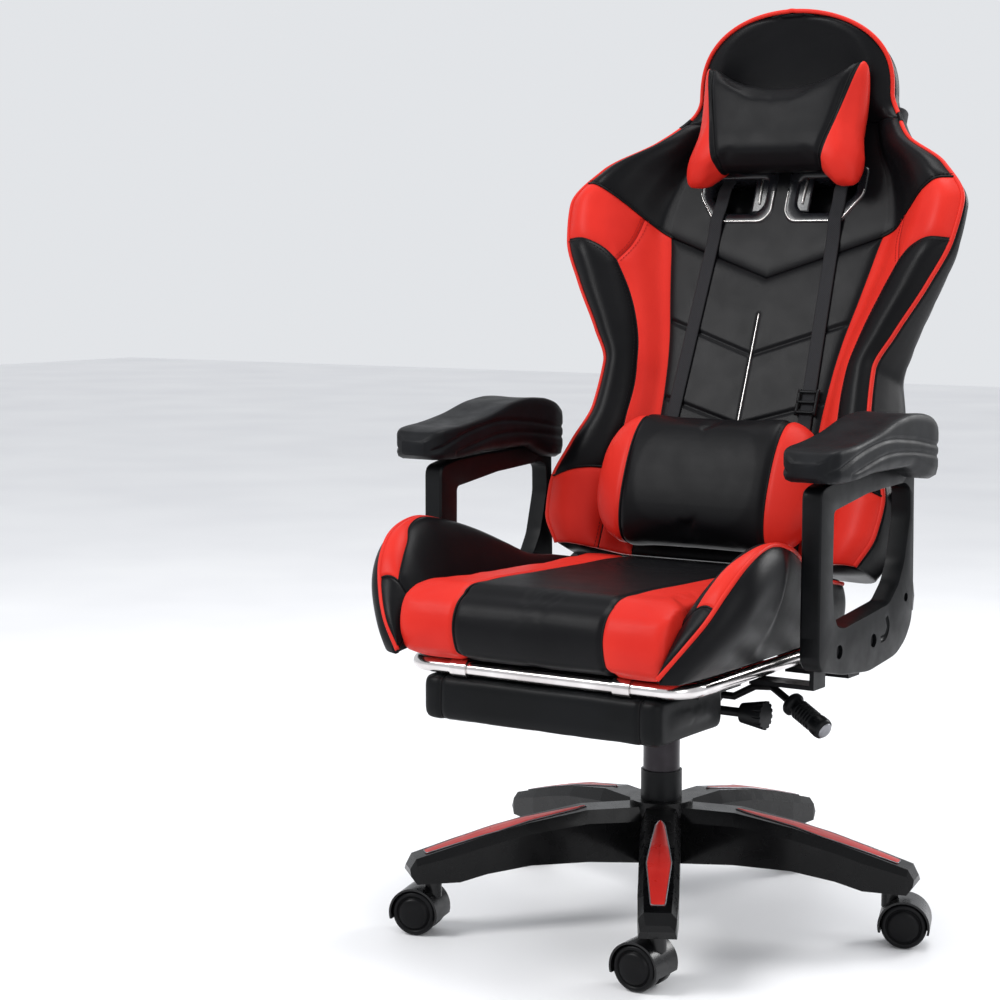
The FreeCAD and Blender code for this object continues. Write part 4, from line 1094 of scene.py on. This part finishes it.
def seat_cushion(materials):
    profile = curve([(-0.318, 0.3975), (-0.338, 0.402), (-0.347, 0.420), (-0.348, 0.447), (-0.338, 0.470),
                     (-0.316, 0.482), (-0.260, 0.4855), (-0.150, 0.4835), (-0.040, 0.481), (0.070, 0.478),
                     (0.108, 0.473), (0.116, 0.456), (0.112, 0.416), (0.092, 0.3975)], 150)

    def shrink(across):
        return 1 - 0.05 * max(0.0, (across - 0.170) / 0.0185) ** 3

    seat = swept_block("seat_cover", profile, SEAT_HALF - 2 * MM, shrink, materials["seat_leather"])
    inflate(seat, voxel=4.5 * MM, cap=5 * MM)

    def shape(points):
        x, y = np.abs(points[:, 0]), points[:, 1]
        seam = 3.2 * MM * np.exp(-((x - SEAT_SEAM) / (4 * MM)) ** 2)
        arcs = np.zeros(len(points))
        for size in (0.052, 0.070, 0.088):
            ring = np.hypot(points[:, 0], (y - 0.015) * 1.25)
            arcs += 0.9 * MM * np.exp(-((ring - size) / (2.6 * MM)) ** 2) * (y < 0.0) * (points[:, 2] > 0.45)
        fold = (1.6 * MM * np.exp(-((y + 0.318) / (9 * MM)) ** 2)
                * np.exp(-((points[:, 2] - 0.484) / 0.012) ** 2))
        return seam + arcs + fold * (x < SEAT_SEAM)

    dent(seat, shape)
    points = np.array([v.co for v in seat.data.vertices])
    ahead = smoothstep((-points[:, 1] - 0.24) / 0.07)
    beyond = np.clip((np.abs(points[:, 0]) - 0.120) / 0.068, 0, 1)
    points[:, 0] += np.sign(points[:, 0]) * SEAT_FLARE * ahead * beyond
    seat.data.vertices.foreach_set("co", points.ravel())
    settle(seat, "seat", ["seat_cushion"])
    line = loop_round(seat, (SEAT_SEAM, -0.12, 0.43), (0, -1, 0), (0, 0, 1), 160, -0.16, math.pi - 0.1)
    welt = tube("seat_welt", even(curve(line, 300), 220), 1.6 * MM, materials["black_thread"], up=(1, 0, 0))
    both_sides(welt, "seat")


# Piping along the top edge of the +X seat side, from the front foot back to the hinge.
SEAT_PIPING = curve([(0.190, -0.350, 0.404), (0.2176, -0.338, 0.440), (0.238, -0.320, 0.472),
                     (0.254, -0.298, 0.508), (0.263, -0.268, 0.536), (0.265, -0.213, 0.554),
                     (0.262, -0.15, 0.545), (0.250, -0.10, 0.528), (0.236, -0.05, 0.505),
                     (0.226, -0.01, 0.486), (0.216, 0.06, 0.474), (0.208, 0.122, 0.463)], 240)
SIDE_FRONT, SIDE_REAR = -0.3495, 0.120


def ridge(back, column):
    return np.interp(back, SEAT_PIPING[:, 1], SEAT_PIPING[:, column])


def side_inner(across, back):
    """Inner and top face of the seat's +X side; across runs 0..0.09 from the seat to the piping."""
    share = np.clip(across / 0.09, -0.02, 1)
    foot = smooth_table(back, (-0.350, -0.338, -0.320, -0.298, -0.268, 0.0, 0.1),
                        (0.400, 0.414, 0.436, 0.458, 0.468, 0.462, 0.452))
    x = 0.1895 + (ridge(back, 0) - 0.1895) * power(share, 0.9)
    bulge = 0.006 * np.sin(np.pi * np.clip(share, 0, 1))
    z = foot + (ridge(back, 2) - foot) * np.sin(np.clip(share, 0, 1) * math.pi / 2) ** 0.92 + bulge
    return np.stack([x, np.broadcast_to(back, x.shape), z], -1)


def side_swell(back):
    """How far the seat side's outer face bulges, fullest ahead of the armrest."""
    return smooth_table(back, (-0.350, -0.330, -0.27, -0.19, -0.145, 0.1),
                        (0.002, 0.012, 0.030, 0.024, 0.007, 0.006))


def side_outer(down, back):
    """Outer face of the seat's +X side; down runs 0..0.15 from the piping to the foot."""
    share = np.clip(down / 0.15, 0, 1)
    reach = smooth_table(back, (-0.350, -0.338, -0.30, -0.26, -0.13, -0.02, 0.1),
                         (0.192, 0.213, 0.216, 0.218, 0.218, 0.215, 0.208))
    x = ridge(back, 0) + (reach - ridge(back, 0)) * share + side_swell(back) * np.sin(np.pi * share ** 0.8)
    z = ridge(back, 2) + (0.398 - ridge(back, 2)) * share
    return np.stack([x, np.broadcast_to(back, x.shape), z], -1)


ARC_SEAM = curve([(0.040, -0.308), (0.045, -0.285), (0.052, -0.264), (0.066, -0.245), (0.075, -0.22),
                  (0.079, -0.17), (0.083, -0.11), (0.0865, -0.04), (0.088, 0.02)], 90)
FRONT_WELT = np.array([(0.040, -0.308), (0.090, -0.312)])


def seat_sides(materials):
    black, red = materials["black_leather"], materials["red_leather"]
    rear = np.array([(0.088, 0.02), (0.0899, 0.022)])
    top_outer = np.array([(0.090, y) for y in np.linspace(-0.312, 0.022, 60)])
    crest = panel("side_crest", (FRONT_WELT, top_outer, rear, ARC_SEAM), side_inner, red, puff=3 * MM,
                  soft=8 * MM, thick=5 * MM)
    both_sides(crest, "seat", ["seat_bolster_left"], ["seat_bolster_right"])
    inner = np.array([(0.0, y) for y in np.linspace(-0.308, SIDE_REAR, 60)])
    front = np.array([(0.0, -0.308), (0.040, -0.308)])
    outer = np.vstack([ARC_SEAM, [(0.0899, 0.022), (0.090, 0.06), (0.090, SIDE_REAR)]])
    end = np.array([(0.0, SIDE_REAR), (0.090, SIDE_REAR)])
    wall = panel("side_wall", (front, outer, end, inner), side_inner, black, puff=2.5 * MM, thick=5 * MM)
    both_sides(wall, "seat")
    foot = np.array([(0.0, SIDE_FRONT), (0.090, SIDE_FRONT)])
    strip_top = np.vstack([[(0.0, -0.308)], FRONT_WELT])
    strip = panel("side_front", (foot, [(0.090, SIDE_FRONT), (0.090, -0.312)], strip_top,
                                 [(0.0, SIDE_FRONT), (0.0, -0.308)]),
                  side_inner, black, puff=2.5 * MM, thick=4 * MM)
    both_sides(strip, "seat")
    edge_in = np.array([(0.0, y) for y in np.linspace(SIDE_FRONT, SIDE_REAR, 90)])
    skirt = panel("side_skirt", ([(0.0, SIDE_FRONT), (0.15, SIDE_FRONT)], edge_in + np.array([0.15, 0]),
                                 [(0.0, SIDE_REAR), (0.15, SIDE_REAR)], edge_in), side_outer, black,
                  puff=2.5 * MM, soft=12 * MM, thick=5 * MM)
    both_sides(skirt, "seat")
    rings = []
    for back in np.linspace(SIDE_FRONT + 4 * MM, SIDE_REAR, 60):
        top = side_inner(np.linspace(0.004, 0.088, 14), np.full(14, back))[:, ::2]
        low = side_outer(np.linspace(0.004, 0.148, 12), np.full(12, back))[:, ::2]
        section = np.vstack([[(0.1905, 0.399)], top, low])
        middle = section.mean(0)
        section = middle + (section - middle) * 0.93
        rings.append(np.column_stack([section[:, 0], np.full(len(section), back), section[:, 1]]))
    both_sides(loft("side_foam", rings, black), "seat")
    both_sides(tube("side_piping", SEAT_PIPING, 3.1 * MM, red), "seat")

    def lift(line, proud):
        line = np.asarray(line, float)
        return side_inner(line[:, 0], line[:, 1]) - proud * surface_normals(side_inner, line)

    both_sides(tube("side_front_welt", lift(even(FRONT_WELT, 20), 0.8 * MM), 1.6 * MM, black), "seat")
    both_sides(tube("side_arc_seam", lift(ARC_SEAM, 0.2 * MM), 1.2 * MM, materials["black_thread"]), "seat")


# ================================================================ footrest

def rounded_box(front, rear, low, top, radius):
    """Closed section with rounded corners, as (back, height)."""
    corners = ((front, low, math.pi), (rear, low, 1.5 * math.pi), (rear, top, 0), (front, top, 0.5 * math.pi))
    line = []
    for back, height, start in corners:
        centre = (back + radius * (1 if back == front else -1),
                  height + radius * (1 if height == low else -1))
        for turn in np.linspace(start, start + math.pi / 2, 8):
            line.append((centre[0] + radius * math.cos(turn), centre[1] + radius * math.sin(turn)))
    return even(np.array(line + line[:1]), 121)[:-1]


def foot_pad(materials):
    lowest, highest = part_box("footrest_pad")
    front, rear, low, top = lowest.y + 3 * MM, highest.y - 3 * MM, lowest.z + 3 * MM, highest.z + 1.5 * MM
    low, front = low - 3 * MM, front + 8 * MM
    section = rounded_box(front, rear, low, top, 11 * MM)
    half = highest.x - 2 * MM

    def shrink(across):
        return 1 - 0.11 * max(0.0, (across - half + 0.012) / 0.012) ** 2.5

    pad = swept_block("foot_cushion", section, half, shrink, materials["foot_leather"])
    inflate(pad, cap=1.5 * MM)
    seam = half - 0.030
    dent(pad, lambda p: 2.2 * MM * np.exp(-((np.abs(p[:, 0]) - seam) / (3.5 * MM)) ** 2))
    settle(pad, "footrest_pad", ["footrest_pad"])
    centre = (seam, (front + rear) / 2, (low + top) / 2)
    line = curve(loop_round(pad, centre, (0, 1, 0), (0, 0, 1), 90), 160, closed=True)
    welt = tube("foot_welt", line, 1.3 * MM, materials["black_thread"], closed=True, up=(1, 0, 0))
    both_sides(welt, "footrest_pad")


# ================================================================ armrests

# Tables of (back, value) along an armrest pad: its top, its underside and its half-width.
ARM_TOP = ((-0.172, 0.655), (-0.160, 0.6665), (-0.140, 0.6705), (-0.110, 0.673), (-0.050, 0.682),
           (0.020, 0.698),
           (0.060, 0.7015), (0.100, 0.699), (0.130, 0.692), (0.155, 0.679), (0.170, 0.664), (0.176, 0.650))
ARM_FOOT = ((-0.172, 0.634), (-0.160, 0.628), (-0.120, 0.6265), (-0.040, 0.632), (0.060, 0.632),
            (0.090, 0.622),
            (0.120, 0.6125), (0.150, 0.610), (0.166, 0.615), (0.176, 0.630))
ARM_HALF = ((-0.172, 0.018), (-0.166, 0.030), (-0.150, 0.039), (-0.120, 0.042), (0.030, 0.042),
            (0.120, 0.041),
            (0.150, 0.037), (0.166, 0.028), (0.176, 0.012))
# Grooves moulded into the pad's sides, as (back, height).
ARM_GROOVES = (((-0.166, 0.641), (-0.117, 0.658), (-0.074, 0.667), (-0.021, 0.673), (0.056, 0.668),
                (0.148, 0.655),
                (0.180, 0.652)),
               ((-0.125, 0.637), (-0.013, 0.655), (0.082, 0.650), (0.152, 0.640), (0.180, 0.636)))


def table_at(back, table):
    return smooth_table(back, [row[0] for row in table], [row[1] for row in table])


def arm_section(back):
    """Half of a pad's section at a distance back, from the middle of its foot to the middle of its top."""
    top, low, half = [float(table_at(back, table)) for table in (ARM_TOP, ARM_FOOT, ARM_HALF)]
    tall = top - low
    corner = min(0.006, half * 0.4)
    side = [(half, low + share * tall) for share in np.linspace(0.22, 0.86, 22)]
    line = [(0, low), (half * 0.7, low), (half * 0.93, low + 0.07 * tall), *side,
            (half - 0.12 * corner, top - 0.55 * corner), (half - 0.45 * corner, top - 0.15 * corner),
            (half - corner, top), (half * 0.5, top - 0.8 * MM), (0, top - 1.1 * MM)]
    return np.array(line)


def arm_pads(materials):
    grooves = [curve(line, 60) for line in ARM_GROOVES]
    rings = []
    for back in 0.002 - 0.1739 * np.cos(np.linspace(0, math.pi, 150)):
        section = arm_section(back)
        places = np.column_stack([np.full(len(section), back), section[:, 1]])
        for line, depth in zip(grooves, (2.4 * MM, 2.0 * MM)):
            cut = depth * np.exp(-(distance_to(places, line) / (2.6 * MM)) ** 2)
            section[:, 0] -= cut * (section[:, 0] > 0.01)
        both = np.vstack([section, section[::-1][1:-1] * np.array([-1, 1])])
        rings.append(np.column_stack([both[:, 0] + 0.2925, np.full(len(both), back), both[:, 1]]))
    pad = loft("arm_pad", rings, materials["arm_pad_skin"])
    both_sides(pad, "seat", ["armrest_pad_left"], ["armrest_pad_right"])


ARM_OUTER = [(-0.136, 0.617), (-0.099, 0.624), (-0.026, 0.628), (0.067, 0.629), (0.149, 0.630),
             (0.149, 0.553),
             (0.151, 0.462), (0.148, 0.417), (0.128, 0.393), (0.098, 0.378), (0.015, 0.369), (-0.060, 0.376),
             (-0.128, 0.390), (-0.137, 0.402)]
ARM_WINDOW = [(-0.098, 0.588), (0.006, 0.602), (0.119, 0.606), (0.135, 0.597), (0.136, 0.560), (0.119, 0.499),
              (0.102, 0.472), (0.073, 0.450), (-0.063, 0.436), (-0.082, 0.440), (-0.094, 0.458),
              (-0.099, 0.502)]


def arm_frames(materials):
    """Loop-shaped side frames with softened edges and a raised rim round the window."""
    lowest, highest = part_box("armrest_frame_left")
    inner_x, outer_x = lowest.x, highest.x
    outer, window = rounded(ARM_OUTER, 0.012, 300), rounded(ARM_WINDOW, 0.007, 300)
    start = int(np.argmin(np.linalg.norm(window - outer[0], axis=1)))
    window = np.roll(window, -start, 0)
    away = outer - window
    away /= np.linalg.norm(away, axis=1, keepdims=True)
    bevel = 2.5 * MM
    rows = [(outer, 0, inner_x + bevel), (outer, 0, outer_x - bevel), (outer, -0.3 * MM, outer_x - 1.4 * MM),
            (outer, -1.2 * MM, outer_x - 0.4 * MM), (outer, -bevel, outer_x), (window, 1.6 * MM, outer_x),
            (window, 0.4 * MM, outer_x - 0.4 * MM), (window, 0, outer_x - 1.6 * MM),
            (window, -2.5 * MM, outer_x - 7 * MM), (window, -2.5 * MM, inner_x + 1 * MM),
            (window, 0, inner_x), (outer, -bevel, inner_x)]
    rings = []
    for line, shift, x in rows:
        moved = line + shift * away
        rings.append(np.column_stack([np.full(len(moved), x), moved]))
    body = loft("arm_frame", rings, materials["black_plastic"], closed_path=True)
    tools = [cutter((outer_x + 0.004, place, 0.408), 9 * MM, 13 * MM) for place in (-0.077, 0.026)]
    tools.append(cutter((outer_x + 0.004, 0.127, 0.452), 6 * MM, 9 * MM))
    hook = curve([(outer_x, 0.048, 0.406), (outer_x, 0.064, 0.409), (outer_x, 0.071, 0.420),
                  (outer_x, 0.066, 0.434)], 30)
    tools.append(tube("hook", hook, 4.5 * MM, materials["black_plastic"], sides=16))
    for tool in tools:
        subtract(body, tool)
    body.data.set_sharp_from_angle(angle=math.radians(38))
    both_sides(body, "seat", ["armrest_frame_left"], ["armrest_frame_right"])


def cutter(place, radius, depth):
    """A short rod along -X from a place, for cutting a recess."""
    profile = [(0, radius), (depth, radius)]
    return lathe("cutter", profile, bpy.data.materials["black_plastic"], place, (-1, 0, 0), 32)


def subtract(piece, tool):
    modifier = piece.modifiers.new("cut", "BOOLEAN")
    modifier.operation, modifier.object, modifier.solver = "DIFFERENCE", tool, "EXACT"
    bpy.context.view_layer.objects.active = piece
    bpy.ops.object.modifier_apply(modifier="cut")
    bpy.data.objects.remove(tool)


# ================================================================ hard parts

def soften_edges(piece, width, angle=30):
    """Small rounded edges on a carried-over part, by a modifier."""
    bevel = piece.modifiers.new("edges", "BEVEL")
    bevel.width, bevel.segments, bevel.angle_limit = width, 2, math.radians(angle)
    bevel.limit_method, bevel.harden_normals = "ANGLE", False


WHEEL_RADIUS, WHEEL_WIDTH = 30 * MM, 21 * MM


def wheel(name, centre, axis, materials, body, node):
    """Caster wheel: rounded tread, recessed side ring and a domed cap."""
    width, radius = WHEEL_WIDTH, WHEEL_RADIUS
    profile = [(0, 4 * MM), (0, radius - 4 * MM), (1.2 * MM, radius - 1.2 * MM), (4 * MM, radius),
               (width - 5 * MM, radius), (width - 1.6 * MM, radius - 1.4 * MM), (width, radius - 4.5 * MM),
               (width - 0.4 * MM, radius - 6.5 * MM), (width - 3 * MM, radius - 7.2 * MM),
               (width - 3 * MM, radius - 9 * MM), (width + 0.2 * MM, radius - 9.6 * MM),
               (width + 1.6 * MM, radius - 13 * MM), (width + 2.6 * MM, radius - 20 * MM),
               (width + 2.9 * MM, 1 * MM)]
    piece = lathe(name, profile, materials["wheel_plastic"], centre, axis, 64)
    return settle(piece, body, [node])


def casters(materials):
    for index in range(1, 6):
        node = frame["nodes"][f"caster_pins_{index}"]
        pins = np.array([v.co for v in node.data.vertices])
        axle_pin = pins[pins[:, 2] < 0.036]
        centre = np.append(axle_pin[:, :2].mean(0), WHEEL_RADIUS)
        spread = axle_pin[:, :2] - centre[:2]
        axle = np.linalg.eigh(spread.T @ spread)[1][:, 1]
        for side, word in ((1, "a"), (-1, "b")):
            way = np.array([axle[0], axle[1], 0]) * side
            wheel(f"caster_wheel_{index}{word}", centre + way * 5 * MM, way, materials, f"wheels_{index}",
                  f"caster_wheels_{index}")


def lever_grip(materials):
    """Fat moulded grip on the height lever, ribbed, with a bright end disc."""
    end = np.array((0.262, -0.046, 0.300))
    way = end - np.array((0.176, -0.020, 0.342))
    way /= np.linalg.norm(way)
    start = end - way * 0.062
    profile = [(0, 6), (0, 14), (2, 15.6), (7, 15.8), (9, 14.4), (11, 12.6), (14, 12.4)]
    for rib in range(6):
        at = 16 + rib * 5
        profile += [(at, 12.6), (at + 1, 13.6), (at + 3, 13.6), (at + 4, 12.6)]
    profile += [(48, 13.4), (52, 14.2), (60, 14.4), (64, 13.4), (66, 11)]
    grip = lathe("lever_handle", [(a * MM, r * MM) for a, r in profile], materials["black_plastic"], start,
                 way)
    settle(grip, "height_lever", ["height_lever_grip"])
    disc = [(64, 11), (66.6, 10.6), (67.4, 9.4), (67.6, 4), (67.2, 1)]
    cap = lathe("lever_cap", [(a * MM, r * MM) for a, r in disc], materials["steel"], start, way)
    settle(cap, "height_lever")


LEG_REACH = (0.030, 0.110, 0.190, 0.250, 0.287, 0.345)
LEG_TOP = (0.160, 0.160, 0.147, 0.1325, 0.1225, 0.106)
LEG_AZIMUTH = -61.2
INLAY = [(0.104, 0.0), (0.122, 0.006), (0.232, 0.016), (0.330, 0.009), (0.330, -0.009), (0.232, -0.016),
         (0.122, -0.006)]


def leg_line(outline, lift, index):
    """Points (reach, side) laid on the top of a base leg, lifted by a height."""
    turn = math.radians(LEG_AZIMUTH + index * 72)
    height = np.interp(outline[:, 0], LEG_REACH, LEG_TOP) + lift
    x = outline[:, 0] * math.cos(turn) - outline[:, 1] * math.sin(turn)
    y = outline[:, 0] * math.sin(turn) + outline[:, 1] * math.cos(turn)
    return np.column_stack([x, y, height])


def base_inlays(materials):
    """Red inlays along the legs, crowned a little, in bright bevelled frames."""
    outline = rounded(INLAY, 0.003, 140)
    spine = np.column_stack([np.clip(outline[:, 0], 0.112, 0.325), np.zeros(len(outline))])
    for index in range(5):
        rings = [leg_line(spine + (outline - spine) * share, lift * MM, index)
                 for share, lift in ((1, -3), (1, 0.8), (0.9, 1.3), (0.5, 1.9), (0.04, 2.1))]
        inlay = loft(f"inlay_{index + 1}", rings, materials["red_plastic"])
        settle(inlay, "base", ["base_inlays"])
        edge = tube(f"inlay_edge_{index + 1}", leg_line(outline, 0.9 * MM, index), 0.8 * MM,
                    materials["steel"],
                    closed=True, sides=8, up=(0, 0, 1))
        settle(edge, "base")


def dress_frame(materials):
    """Materials for the parts that keep their own shape, and softened edges for the plainest of them."""
    for part in frame["record"]["subparts"]:
        node = frame["nodes"][part["node"]]
        node.data.materials.clear()
        node.data.materials.append(materials[part["material_slot"]])
    frame["nodes"]["footrest_clamps"].data.materials[0] = materials["chrome"]
    frame["nodes"]["seat_pan"].data.materials[0] = materials["webbing"]
    for name in ("hinge_covers", "recline_lever"):
        soften_edges(frame["nodes"][name], 1.2 * MM)


def make_floor():
    nodes = Nodes("floor_paint")
    colour = two_tone(nodes, rgb(236, 236, 238), rgb(244, 244, 245), scale=1.5)
    material = nodes.finish(colour, nodes.spread(nodes.noise(6, 2), 0.5, 0.62))
    points = [(-12, -12, 0), (12, -12, 0), (12, 12, 0), (-12, 12, 0)]
    floor = new_piece("floor", points, [(0, 1, 2, 3)], material)
    floor.location.z = -0.0005


# ================================================================ build

make_camera()
make_studio()
make_floor()
finish = make_materials()
finish["head_leather"] = banded_leather("head_leather", 0.098, 0.26, 1.083)
dress_frame(finish)
back_shell(finish)
centre_panel(finish)
wing_panels(finish)
yoke_panel(finish)
back_piping(finish)
back_stitching(finish)
harness_bezels(finish)
lumbar_pillow(finish)
head_pillow(finish)
straps(finish)
seat_cushion(finish)
seat_sides(finish)
foot_pad(finish)
arm_pads(finish)
arm_frames(finish)
casters(finish)
lever_grip(finish)
base_inlays(finish)
